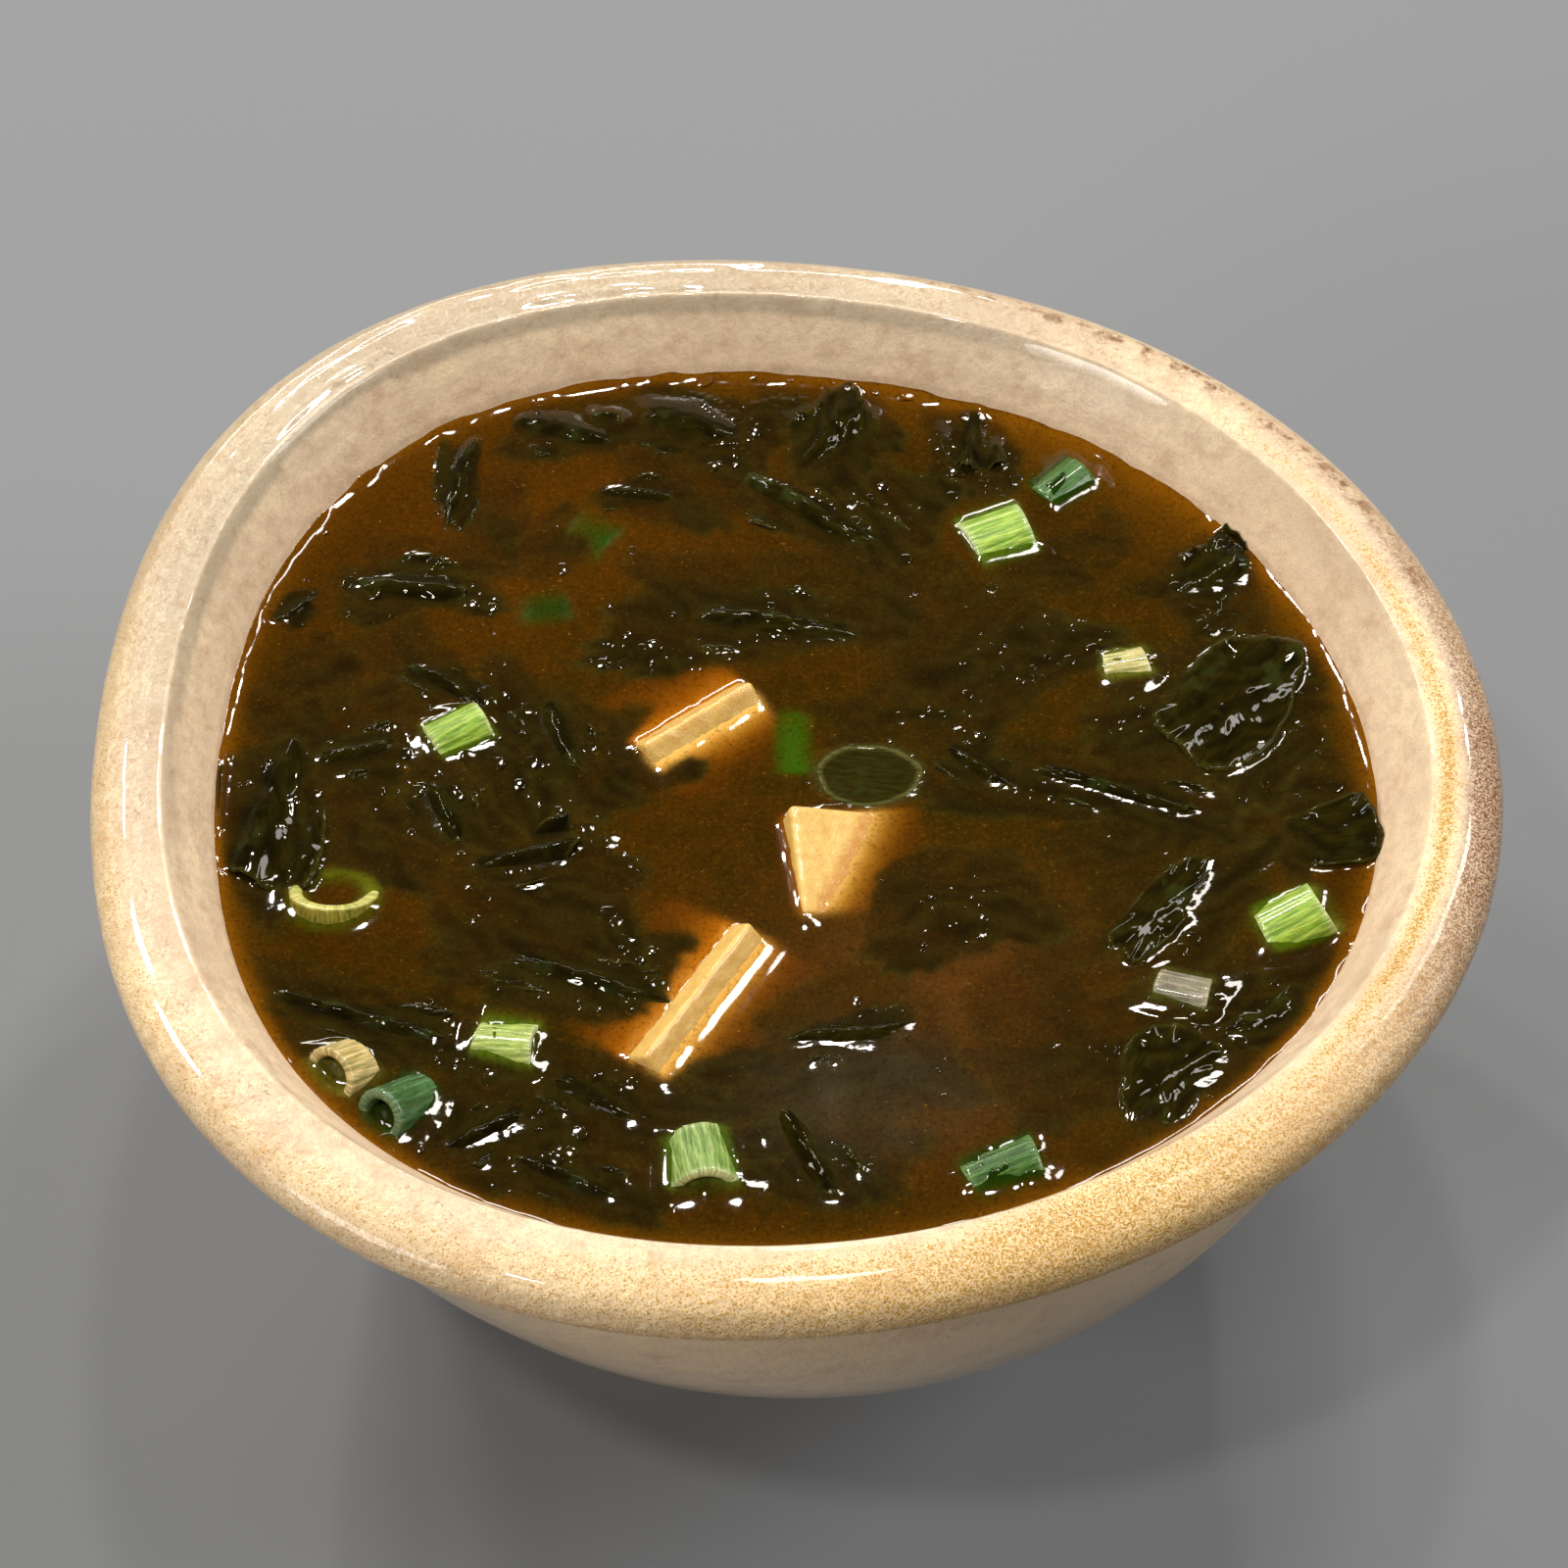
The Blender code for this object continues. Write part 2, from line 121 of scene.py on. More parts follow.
# directions held at each point, for lines that follow the piece
def measureVectors(piece, name, values):
    full = np.zeros((len(piece.data.vertices), 3), dtype=np.float32)
    full[:, :np.shape(values)[1]] = values
    layer = piece.data.attributes.new(name, "FLOAT_VECTOR", "POINT")
    layer.data.foreach_set("vector", full.ravel())


def gridFaces(rows, columns, closed=False):
    faces = []
    for i in range(rows - 1):
        for j in range(columns if closed else columns - 1):
            k = (j + 1) % columns
            faces.append((i * columns + j, i * columns + k, (i + 1) * columns + k, (i + 1) * columns + j))
    return faces


# faces of a round sheet: a fan at the middle point, then ring by ring
def fanFaces(spokes, rings):
    faces = [(0, 1 + i, 1 + (i + 1) % spokes) for i in range(spokes)]
    for a in range(1, 1 + (rings - 1) * spokes, spokes):
        for i in range(spokes):
            k = (i + 1) % spokes
            faces.append((a + i, a + spokes + i, a + spokes + k, a + k))
    return faces


# a soft bell: 1 at one value, fading away to both sides
def bell(value, at, width):
    return np.exp(-((value - at) / width) ** 2)


# a soft oval spot, given by its middle and its half widths
def softSpot(x, y, spot):
    return np.exp(-(((x - spot[0]) / spot[2]) ** 2 + ((y - spot[1]) / spot[3]) ** 2))


# the piece stands for a solid and moves with the bowl
def dress(piece, node):
    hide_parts(node)
    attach(piece, "root")


# nodes of one material or group, joined as they are made
class Sheet:
    def __init__(self, tree):
        self.tree = tree

    def add(self, kind, options=None, **inputs):
        node = self.tree.nodes.new("ShaderNode" + kind)
        for key, value in (options or {}).items():
            setattr(node, key, value)
        for key, value in inputs.items():
            socket = node.inputs[int(key[1:])] if key[0] == "_" else node.inputs[key.replace("_", " ")]
            if isinstance(value, bpy.types.NodeSocket):
                self.tree.links.new(value, socket)
            else:
                socket.default_value = value
        return node

    def math(self, operation, a, b):
        return self.add("Math", dict(operation=operation), _0=a, _1=b).outputs[0]

    def times(self, a, b):
        return self.math("MULTIPLY", a, b)

    def plus(self, a, b):
        return self.math("ADD", a, b)

    def minus(self, a, b):
        return self.math("SUBTRACT", a, b)

    def mix(self, share, a, b, how="MIX"):
        node = self.add("Mix", dict(data_type="RGBA", blend_type=how), _0=share)
        for socket, value in ((node.inputs[6], a), (node.inputs[7], b)):
            if isinstance(value, bpy.types.NodeSocket):
                self.tree.links.new(value, socket)
            else:
                socket.default_value = (*value, 1.0)
        return node.outputs[2]

    def ramp(self, value, low, high, to=(0.0, 1.0)):
        return self.add("MapRange", dict(interpolation_type="SMOOTHSTEP"), Value=value, From_Min=low,
                        From_Max=high, To_Min=to[0], To_Max=to[1]).outputs[0]

    def noise(self, at, scale, detail=3.0, rough=0.5, stretch=None):
        if stretch:
            at = self.add("Mapping", Vector=at, Scale=stretch).outputs[0]
        return self.add("TexNoise", Vector=at, Scale=scale, Detail=detail, Roughness=rough).outputs[0]

    # 0 up to a level, and 1 from a little above it
    def above(self, value, low, soft):
        return self.add("MapRange", Value=value, From_Min=low, From_Max=self.plus(low, soft)).outputs[0]

    # join a colour and a bump to the shader
    def finish(self, shader, colour, height, strength, distance):
        self.tree.links.new(colour, shader.inputs["Base Color"])
        bump = self.add("Bump", Strength=strength, Distance=distance, Height=height)
        self.tree.links.new(bump.outputs[0], shader.inputs["Normal"])

    def field(self, name):
        return self.add("Attribute", dict(attribute_name=name))

    def place(self):
        return self.add("TexCoord").outputs["Object"]


def newMaterial(name, **values):
    material = bpy.data.materials.new(name)
    material.use_nodes = True
    sheet = Sheet(material.node_tree)
    shader = material.node_tree.nodes["Principled BSDF"]
    for key, value in values.items():
        shader.inputs[key.replace("_", " ")].default_value = value
    return material, sheet, shader


def newGroup(name, inputs, outputs):
    group = bpy.data.node_groups.new(name, "ShaderNodeTree")
    for socket, kind, value in inputs:
        made = group.interface.new_socket(name=socket, in_out="INPUT", socket_type="NodeSocket" + kind)
        made.default_value = value
    for socket, kind in outputs:
        group.interface.new_socket(name=socket, in_out="OUTPUT", socket_type="NodeSocket" + kind)
    sheet = Sheet(group)
    return group, sheet, group.nodes.new("NodeGroupInput"), group.nodes.new("NodeGroupOutput")


# fine flecks: a mask of small spots, thinned out by Amount
def makeFleckGroup():
    group, sheet, given, out = newGroup(
        "flecks", [("Scale", "Float", 900.0), ("Amount", "Float", 0.5), ("Softness", "Float", 0.06)],
        [("Mask", "Float"), ("Height", "Float")])
    at = sheet.place()
    fine = sheet.noise(at, given.outputs["Scale"], 2.0, 0.6)
    patch = sheet.noise(at, sheet.times(given.outputs["Scale"], 0.13), 3.0, 0.6)
    both = sheet.plus(sheet.times(fine, 0.72), sheet.times(patch, 0.28))
    edge = sheet.minus(0.80, sheet.times(given.outputs["Amount"], 0.5))
    mask = sheet.add("MapRange", dict(interpolation_type="SMOOTHSTEP"), Value=both, From_Min=edge,
                     From_Max=sheet.plus(edge, given.outputs["Softness"])).outputs[0]
    group.links.new(mask, out.inputs["Mask"])
    group.links.new(sheet.times(mask, fine), out.inputs["Height"])
    return group


# long fine lines that run along one axis of the given coordinates
def makeFibreGroup():
    group, sheet, given, out = newGroup(
        "fibres", [("Vector", "Vector", (0.0, 0.0, 0.0)), ("Across", "Float", 40.0), ("Along", "Float", 2.0),
                   ("Warp", "Float", 0.3)],
        [("Lines", "Float"), ("Height", "Float")])
    stretch = sheet.add("CombineXYZ", X=given.outputs["Along"], Y=given.outputs["Across"], Z=1.0).outputs[0]
    at = sheet.add("VectorMath", dict(operation="MULTIPLY"), _0=given.outputs["Vector"], _1=stretch).outputs[0]
    lines = sheet.noise(at, 1.0, 3.0, 0.62)
    fold = sheet.noise(at, 0.35, 1.0, 0.5)
    group.links.new(sheet.ramp(lines, 0.35, 0.68), out.inputs["Lines"])
    group.links.new(sheet.plus(lines, sheet.times(fold, given.outputs["Warp"])),
                    out.inputs["Height"])
    return group


fleckGroup = makeFleckGroup()
fibreGroup = makeFibreGroup()


def placeGroup(sheet, group, **inputs):
    return sheet.add("Group", dict(node_tree=group), **inputs)


bowlShape = dict(
    height=60 * mm, rimRadius=65.1 * mm, rollWidth=4.2 * mm, rollHeight=2.9 * mm, rollTurn=(127.0, -42.0),
    rollToBody=6.0 * mm, bodyTop=53 * mm, footTop=9.5 * mm, footRadius=33 * mm, footWidth=4.8 * mm,
    footRecess=3.6 * mm, base=9 * mm, bodyRoundness=(2.0, 1.5), brothDepth=8 * mm, brothRadius=54.1 * mm,
    rollSquare=0.80, flare=(0.35, 30.0), lobesFrom=24 * mm, lobesFull=54 * mm, around=400,
    lobes=((2, 0.92 * mm, -33.0), (3, 1.60 * mm, 1.5), (4, 0.76 * mm, -44.0), (5, 0.27 * mm, -10.0)),
    throwingLines=0.05 * mm, unevenness=0.12 * mm, ridge=0.14 * mm, ridgeWidth=0.5 * mm,
    ridges=(-2.7 * mm, -0.9 * mm, 0.7 * mm, 2.5 * mm), sharpest=(125.0, 50.0))
brothLevel = bowlShape["height"] - bowlShape["brothDepth"]


def lobeHeight(bearing):
    return sum(size * np.cos(times * (bearing - math.radians(at))) for times, size, at in bowlShape["lobes"])


def lobeShare(radius, z):
    return radius / bowlShape["rimRadius"] * smoothStep(bowlShape["lobesFrom"], bowlShape["lobesFull"], z)


def rimMiddle():
    bearing = np.arange(48) * math.tau / 48
    reach = bowlShape["rimRadius"] + lobeHeight(bearing)
    x, y = reach * np.cos(bearing), reach * np.sin(bearing)
    return np.array([(x.min() + x.max()) / 2, (y.min() + y.max()) / 2])


rimShift = rimMiddle()


def innerRadius(z):
    z = np.asarray(z, dtype=float)
    up = np.maximum(z - brothLevel, 0.0)
    depth = brothLevel - bowlShape["base"]
    ball = (bowlShape["brothRadius"] ** 2 + depth ** 2) / (2 * depth)
    down = bowlShape["base"] + ball - np.minimum(z, brothLevel)
    below = np.sqrt(np.maximum(ball * ball - down * down, 0.0))
    return np.where(z > brothLevel, bowlShape["brothRadius"] + bowlShape["flare"][0] * up
                    + bowlShape["flare"][1] * up * up, below)


# a curve through all the points, with this many steps between each two
def smoothLine(points, steps):
    p = np.array(points)
    p = np.vstack([2 * p[0] - p[1], p, 2 * p[-1] - p[-2]])
    made = []
    for i in range(1, len(p) - 2):
        for t in np.arange(steps) / steps:
            made.append(0.5 * (2 * p[i] + (p[i + 1] - p[i - 1]) * t
                               + (2 * p[i - 1] - 5 * p[i] + 4 * p[i + 1] - p[i + 2]) * t * t
                               + (3 * p[i] - p[i - 1] - 3 * p[i + 1] + p[i + 2]) * t ** 3))
    return made + [p[-2]]


# the bowl's half section: up the inside, over the roll, down the body, round the foot
def bowlLine():
    s = bowlShape
    inside = []
    for share in np.linspace(0.0, 1.0, 14):
        z = s["base"] + (brothLevel - s["base"]) * share ** 1.6
        inside.append((float(innerRadius(z)), z))
    for share in (0.35, 0.68):
        z = brothLevel + (s["height"] - 1.2 * mm - brothLevel) * share
        inside.append((float(innerRadius(z)), z))
    middle = (s["rimRadius"] - s["rollWidth"], s["height"] - s["rollHeight"])
    start, end = (math.radians(turn) for turn in s["rollTurn"])
    for turn in np.linspace(start, end, 15):
        across, up = (math.copysign(abs(f(turn)) ** s["rollSquare"], f(turn)) for f in (math.cos, math.sin))
        inside.append((middle[0] + s["rollWidth"] * across, middle[1] + s["rollHeight"] * up))
    bodyRadius = s["rimRadius"] - s["rollToBody"]
    inside.append((bodyRadius + 1.8 * mm, s["bodyTop"] + 1.0 * mm))
    for share in (0.0, 0.15, 0.3, 0.45, 0.6, 0.72, 0.83, 0.91, 0.96, 1.0):
        bulge = (1.0 - share ** s["bodyRoundness"][0]) ** (1.0 / s["bodyRoundness"][1])
        inside.append((s["footRadius"] + (bodyRadius - s["footRadius"]) * bulge,
                       s["bodyTop"] + (s["footTop"] - s["bodyTop"]) * share))
    outer = smoothLine(inside, 5)
    foot = [(s["footRadius"] - 0.1 * mm, s["footTop"] - 1.6 * mm), (s["footRadius"] - 0.3 * mm, 3.0 * mm),
            (s["footRadius"] - 0.6 * mm, 0.8 * mm), (s["footRadius"] - 1.0 * mm, 0.2 * mm),
            (s["footRadius"] - 1.5 * mm, 0.0), (s["footRadius"] - s["footWidth"] + 0.3 * mm, 0.0),
            (s["footRadius"] - s["footWidth"] - 0.3 * mm, 0.6 * mm),
            (s["footRadius"] - s["footWidth"] - 0.8 * mm, s["footRecess"]), (0.6 * mm, s["footRecess"])]
    return outer + [np.array(p) for p in foot]


# push turned points out by the lobes and shift them onto the axis, as the solids are
def outOfRound(x, y, z):
    radius = np.hypot(x, y)
    bearing = np.arctan2(y, x)
    share = lobeShare(radius, z)
    grown = radius + lobeHeight(bearing) * share
    return grown * np.cos(bearing) - rimShift[0] * share, grown * np.sin(bearing) - rimShift[1] * share


def wallAt(bearing, z):
    radius = innerRadius(z)
    return radius + lobeHeight(bearing) * lobeShare(radius, z)


# a place on the broth given from the rim's middle, as a place in the model
def rimFrame(x, y):
    share = float(lobeShare(bowlShape["brothRadius"], brothLevel))
    return x - rimShift[0] * share, y - rimShift[1] * share


glazeLook = dict(
    cream=tint(232, 212, 176), pink=tint(208, 184, 156), inside=tint(226, 198, 164),
    brown=tint(186, 152, 120), fleck=tint(164, 130, 96), gold=tint(226, 182, 84), ochre=tint(180, 136, 52),
    ochreDark=tint(124, 90, 42), iron=tint(128, 92, 62), mauve=tint(98, 50, 30), shaded=tint(156, 144, 122),
    body=tint(214, 184, 140), roughness=0.28, fineSize=4800.0, finerSize=6100.0, bumpStrength=0.42,
    bumpDepth=0.4 * mm)


def makeGlaze():
    look = glazeLook
    material, sheet, shader = newMaterial("speckledGlaze", Roughness=look["roughness"], IOR=1.45,
                                          Coat_Weight=0.8, Coat_Roughness=0.035, Specular_IOR_Level=0.35)
    at = sheet.place()
    zone = sheet.field("glazeZones").outputs["Color"]
    parts = sheet.add("SeparateColor", Color=zone)
    ochre, mauve, inside = (parts.outputs[i] for i in range(3))
    body = sheet.field("bodyZone").outputs["Fac"]
    streak = sheet.field("streakZone").outputs["Fac"]
    drift = sheet.noise(at, 70.0, 4.0, 0.6)
    fine = sheet.noise(at, look["fineSize"], 2.0, 0.6)
    finer = sheet.noise(at, look["finerSize"], 2.0, 0.6)
    grain = sheet.noise(at, 700.0, 4.0, 0.7)
    colour = sheet.mix(sheet.ramp(drift, 0.35, 0.70), look["cream"], look["pink"])
    # painted shade: the inside wall takes a darker tone towards the broth
    colour = sheet.mix(inside, colour, look["inside"])
    colour = sheet.mix(body, colour, look["body"])
    colour = sheet.mix(sheet.ramp(grain, 0.40, 0.62, (0.0, 0.64)), colour, look["pink"])
    blotch = sheet.noise(at, 260.0, 5.0, 0.7)
    colour = sheet.mix(sheet.ramp(blotch, 0.47, 0.68, (0.0, 0.52)), colour, look["brown"])
    colour = sheet.mix(sheet.ramp(finer, 0.54, 0.72, (0.0, 0.55)), colour, look["fleck"])
    shadeAndMottle = sheet.field("shadeAndMottleZone").outputs["Fac"]
    # painted shade: the lip round the back is coloured darker and greyer
    colour = sheet.mix(sheet.times(shadeAndMottle, 0.8), colour, look["shaded"])
    mottled = sheet.ramp(sheet.noise(at, 900.0, 4.0, 0.7), 0.52, 0.66)
    # brown mottling on the same lip, under the same mask as the painted shade
    colour = sheet.mix(sheet.times(shadeAndMottle, sheet.times(mottled, 0.55)), colour, look["fleck"])
    # brown dust gathers along the lip
    lip = sheet.field("lipZone").outputs["Fac"]
    dusty = sheet.times(lip, sheet.ramp(sheet.noise(at, 180.0, 3.0, 0.7), 0.42, 0.62))
    speckled = sheet.ramp(sheet.noise(at, 2600.0, 2.0, 0.6), 0.54, 0.64)
    colour = sheet.mix(sheet.times(dusty, sheet.times(speckled, 0.7)), colour,
                       look["fleck"])
    # mauve edge, broken up by pale grain
    colour = sheet.mix(sheet.times(mauve, sheet.ramp(fine, 0.40, 0.60, (0.35, 1.0))), colour,
                       look["mauve"])
    # the ochre bleeds in as a golden wash, then as denser and darker dust
    colour = sheet.mix(sheet.times(ochre, 0.50), colour, look["gold"])
    dust = sheet.above(fine, sheet.minus(0.63, sheet.times(ochre, 0.18)), 0.06)
    colour = sheet.mix(sheet.times(dust, sheet.ramp(ochre, 0.02, 0.25)), colour, look["ochre"])
    dark = sheet.above(finer, sheet.minus(0.74, sheet.times(ochre, 0.19)), 0.06)
    colour = sheet.mix(sheet.times(dark, sheet.ramp(ochre, 0.05, 0.35)), colour, look["ochreDark"])
    spots = placeGroup(sheet, fleckGroup, Scale=640.0, Amount=0.20, Softness=0.05)
    colour = sheet.mix(sheet.times(spots.outputs["Mask"], 0.45), colour, look["iron"])
    lines = sheet.ramp(sheet.noise(at, 420.0, 4.0, 0.7), 0.47, 0.60)
    colour = sheet.mix(sheet.times(streak, lines), colour, look["iron"])
    rough = sheet.plus(look["roughness"], sheet.times(ochre, 0.16))
    rough = sheet.plus(rough, sheet.times(dust, 0.10))
    wall = sheet.field("wallZone").outputs["Fac"]
    rough = sheet.plus(rough, sheet.times(wall, 0.18))
    sheet.tree.links.new(rough, shader.inputs["Roughness"])
    coat = sheet.times(sheet.ramp(ochre, 0.08, 0.50, (0.85, 0.12)), sheet.ramp(wall, 0.0, 1.0, (1.0, 0.12)))
    sheet.tree.links.new(coat, shader.inputs["Coat Weight"])
    waves = sheet.noise(at, 520.0, 3.0, 0.60)
    beaten = sheet.noise(at, 1000.0, 2.0, 0.5)
    waves = sheet.plus(waves, sheet.times(beaten, sheet.times(lip, 1.7)))
    height = sheet.plus(waves, sheet.times(fine, 0.10))
    height = sheet.plus(height, sheet.times(dust, sheet.times(ochre, 0.12)))
    sheet.finish(shader, colour, height, look["bumpStrength"], look["bumpDepth"])
    return material


# where round the rim each colour of the glaze, and the painted shade at the back, is strongest, and how far it
# spreads, in degrees
glazePlaces = dict(ochre=(-52.0, 40.0), mauve=(-10.0, 38.0), ribbon=(-12.0, 44.0), streak=(45.0, 34.0),
                   dull=(-32.0, 32.0), nearSide=-32.0, backSide=35.0)


def makeBowl():
    s, places = bowlShape, glazePlaces
    line = bowlLine()
    count = s["around"]
    bearing = np.arange(count) * math.tau / count
    radius = np.array([p[0] for p in line])[:, None] * np.ones(count)
    z = np.array([p[1] for p in line])[:, None] * np.ones(count)
    # the roll is the stretch round the crest
    crest = int(np.argmax([p[1] for p in line]))
    along = np.concatenate([[0.0], np.cumsum(np.hypot(np.diff(radius[:, 0]), np.diff(z[:, 0])))])
    along = (along - along[crest])[:, None] * np.ones(count)
    turn = bearing[None, :] * np.ones_like(z)
    ripple = np.sin(along / (1.9 * mm) * math.tau * 0.5 + 2.2 * billow(turn * 2, along * 0, 1.0, 2, 5))
    quiet = 1.0 - smoothStep(s["rimRadius"] - 9 * mm, s["rimRadius"] - 5 * mm, radius)
    inward = -s["throwingLines"] * (0.6 + 0.4 * ripple) * quiet
    around = turn * s["rimRadius"]
    inward -= s["unevenness"] * (0.5 + 0.5 * billow(around, along, 9 * mm, 3, 11))
    inward *= smoothStep(0.5 * mm, 4 * mm, z) * smoothStep(2 * mm, 12 * mm, radius)
    flat = (z < brothLevel + 1 * mm) & (along < 0)  # the wetted inside stays true to the broth's edge
    inward = np.where(flat, 0.0, inward)
    x, y = outOfRound((radius + inward) * np.cos(turn), (radius + inward) * np.sin(turn), z)
    dip = s["unevenness"] * (0.5 + 0.5 * billow(around, along * 0.3, 16 * mm, 2, 23))
    z = z - dip * smoothStep(brothLevel + 4 * mm, s["height"], z)
    # faint turned ridges run round the lip and catch the light
    drifts = along + 0.5 * mm * billow(around, along * 0, 14 * mm, 2, 29)
    crests = sum(bell(drifts, at, s["ridgeWidth"]) for at in s["ridges"])
    crests = crests * (0.65 + 0.9 * billow(around, along, 3.0 * mm, 2, 37))
    crests = 1.0 - crests + 0.35 * billow(around * 0.6, along, 1.6 * mm, 2, 43)
    sharp = 0.15 + 1.25 * bell(np.degrees(turn), *s["sharpest"])
    z = z - s["ridge"] * sharp * np.clip(crests, 0.0, 2.0) * bell(along, -1.0 * mm, 6.0 * mm)
    points = np.stack([x, y, z], -1).reshape(-1, 3)
    faces = gridFaces(len(line), count, True)
    middleIn = len(points)
    points = np.vstack([points, [[0, 0, s["base"]], [0, 0, s["footRecess"]]]])
    last = (len(line) - 1) * count
    for j in range(count):
        k = (j + 1) % count
        faces.append((middleIn, k, j))
        faces.append((middleIn + 1, last + j, last + k))
    piece = meshPiece("glazedBowl", points, faces, glaze)
    bm = bmesh.new()
    bm.from_mesh(piece.data)
    bmesh.ops.remove_doubles(bm, verts=bm.verts, dist=0.000001)
    bmesh.ops.recalc_face_normals(bm, faces=bm.faces)
    bm.to_mesh(piece.data)
    bm.free()
    # where the glaze breaks ochre, mauve and iron, from each point's place on the rim
    v = np.array([tuple(p.co) for p in piece.data.vertices])
    x, y, z = v[:, 0] + rimShift[0], v[:, 1] + rimShift[1], v[:, 2]
    bearing = np.degrees(np.arctan2(y, x))
    reach = np.hypot(x, y) - lobeHeight(np.radians(bearing)) * lobeShare(np.hypot(x, y), z)
    inset = s["rimRadius"] - reach
    facing = np.radians(bearing)
    wander = billow(np.cos(facing) * 60 * mm, np.sin(facing) * 60 * mm, 14 * mm, 3, 31)
    # the ochre band: far in at the near right, lighter at the near left, a thread at the back
    near = np.clip(-np.sin(np.radians(bearing - places["nearSide"])), -1, 1)
    nearRight = bell(bearing, *places["ochre"])
    farRight = bell(bearing, *places["mauve"])
    band = (2.8 + 0.7 * smoothStep(0.0, 0.9, near) + 3.8 * nearRight + 1.4 * wander) * mm
    amount = 0.12 + 0.18 * smoothStep(-0.2, 0.7, near) + 0.64 * nearRight
    ochre = (1.0 - smoothStep(band - 2.2 * mm, band + 2.2 * mm, inset)) * amount
    # to the right it runs as a line of its own, with mauve outside it
    ribbon = np.exp(-((inset - 5.3 * mm - 0.4 * mm * wander) / (0.9 * mm)) ** 2)
    ribbon *= bell(bearing, *places["ribbon"])
    ochre = np.maximum(ochre * (1.0 - farRight * 0.85), ribbon * 0.85)
    ochre *= smoothStep(51 * mm, 54 * mm, z)
    mauve = farRight * (1.0 - smoothStep(2.6 * mm, 4.5 * mm, inset))
    mauve = np.maximum(mauve, 0.35 * (1.0 - smoothStep(0.1 * mm, 1.2 * mm, inset)) * (z < 57 * mm))
    mauve *= smoothStep(50 * mm, 53 * mm, z)
    inside = (inset > 5.5 * mm) & (z > s["base"] - mm) & (reach < innerRadius(z) + 1.2 * mm)
    shadeIn = np.where(inside, 1.0 - smoothStep(brothLevel + 0.5 * mm, brothLevel + 7.5 * mm, z) * 0.85, 0.0)
    bodyMask = ((~inside) & (z < 53 * mm)).astype(float) * (1.0 - smoothStep(50 * mm, 53.5 * mm, z) * 0.6)
    upperRight = bell(bearing, *places["streak"])
    broken = billow(facing * 65 * mm, inset * 7.0, 6 * mm, 3, 41)
    streak = upperRight * np.exp(-((inset - 2.6 * mm - 1.2 * mm * wander) / (1.1 * mm)) ** 2)
    streak = np.clip(streak * (0.9 + 0.9 * broken), 0, 1) * (z > 57 * mm)
    paint(piece, "glazeZones", np.stack([ochre, mauve, shadeIn], -1))
    measure(piece, "bodyZone", bodyMask)
    measure(piece, "streakZone", streak)
    # the lip round the back: painted shade there, and brown mottling
    back = smoothStep(0.0, 0.9, np.sin(np.radians(bearing - places["backSide"])))
    measure(piece, "shadeAndMottleZone", 0.75 * back * (inset < 8 * mm) * smoothStep(55 * mm, 57 * mm, z))
    dull = 0.85 * bell(bearing, *places["dull"])
    measure(piece, "wallZone", np.maximum(inside * smoothStep(6.8 * mm, 7.8 * mm, inset), dull))
    measure(piece, "lipZone", smoothStep(7.5 * mm, 5.5 * mm, inset) * (z > 55 * mm))
    dress(piece, "bowl")


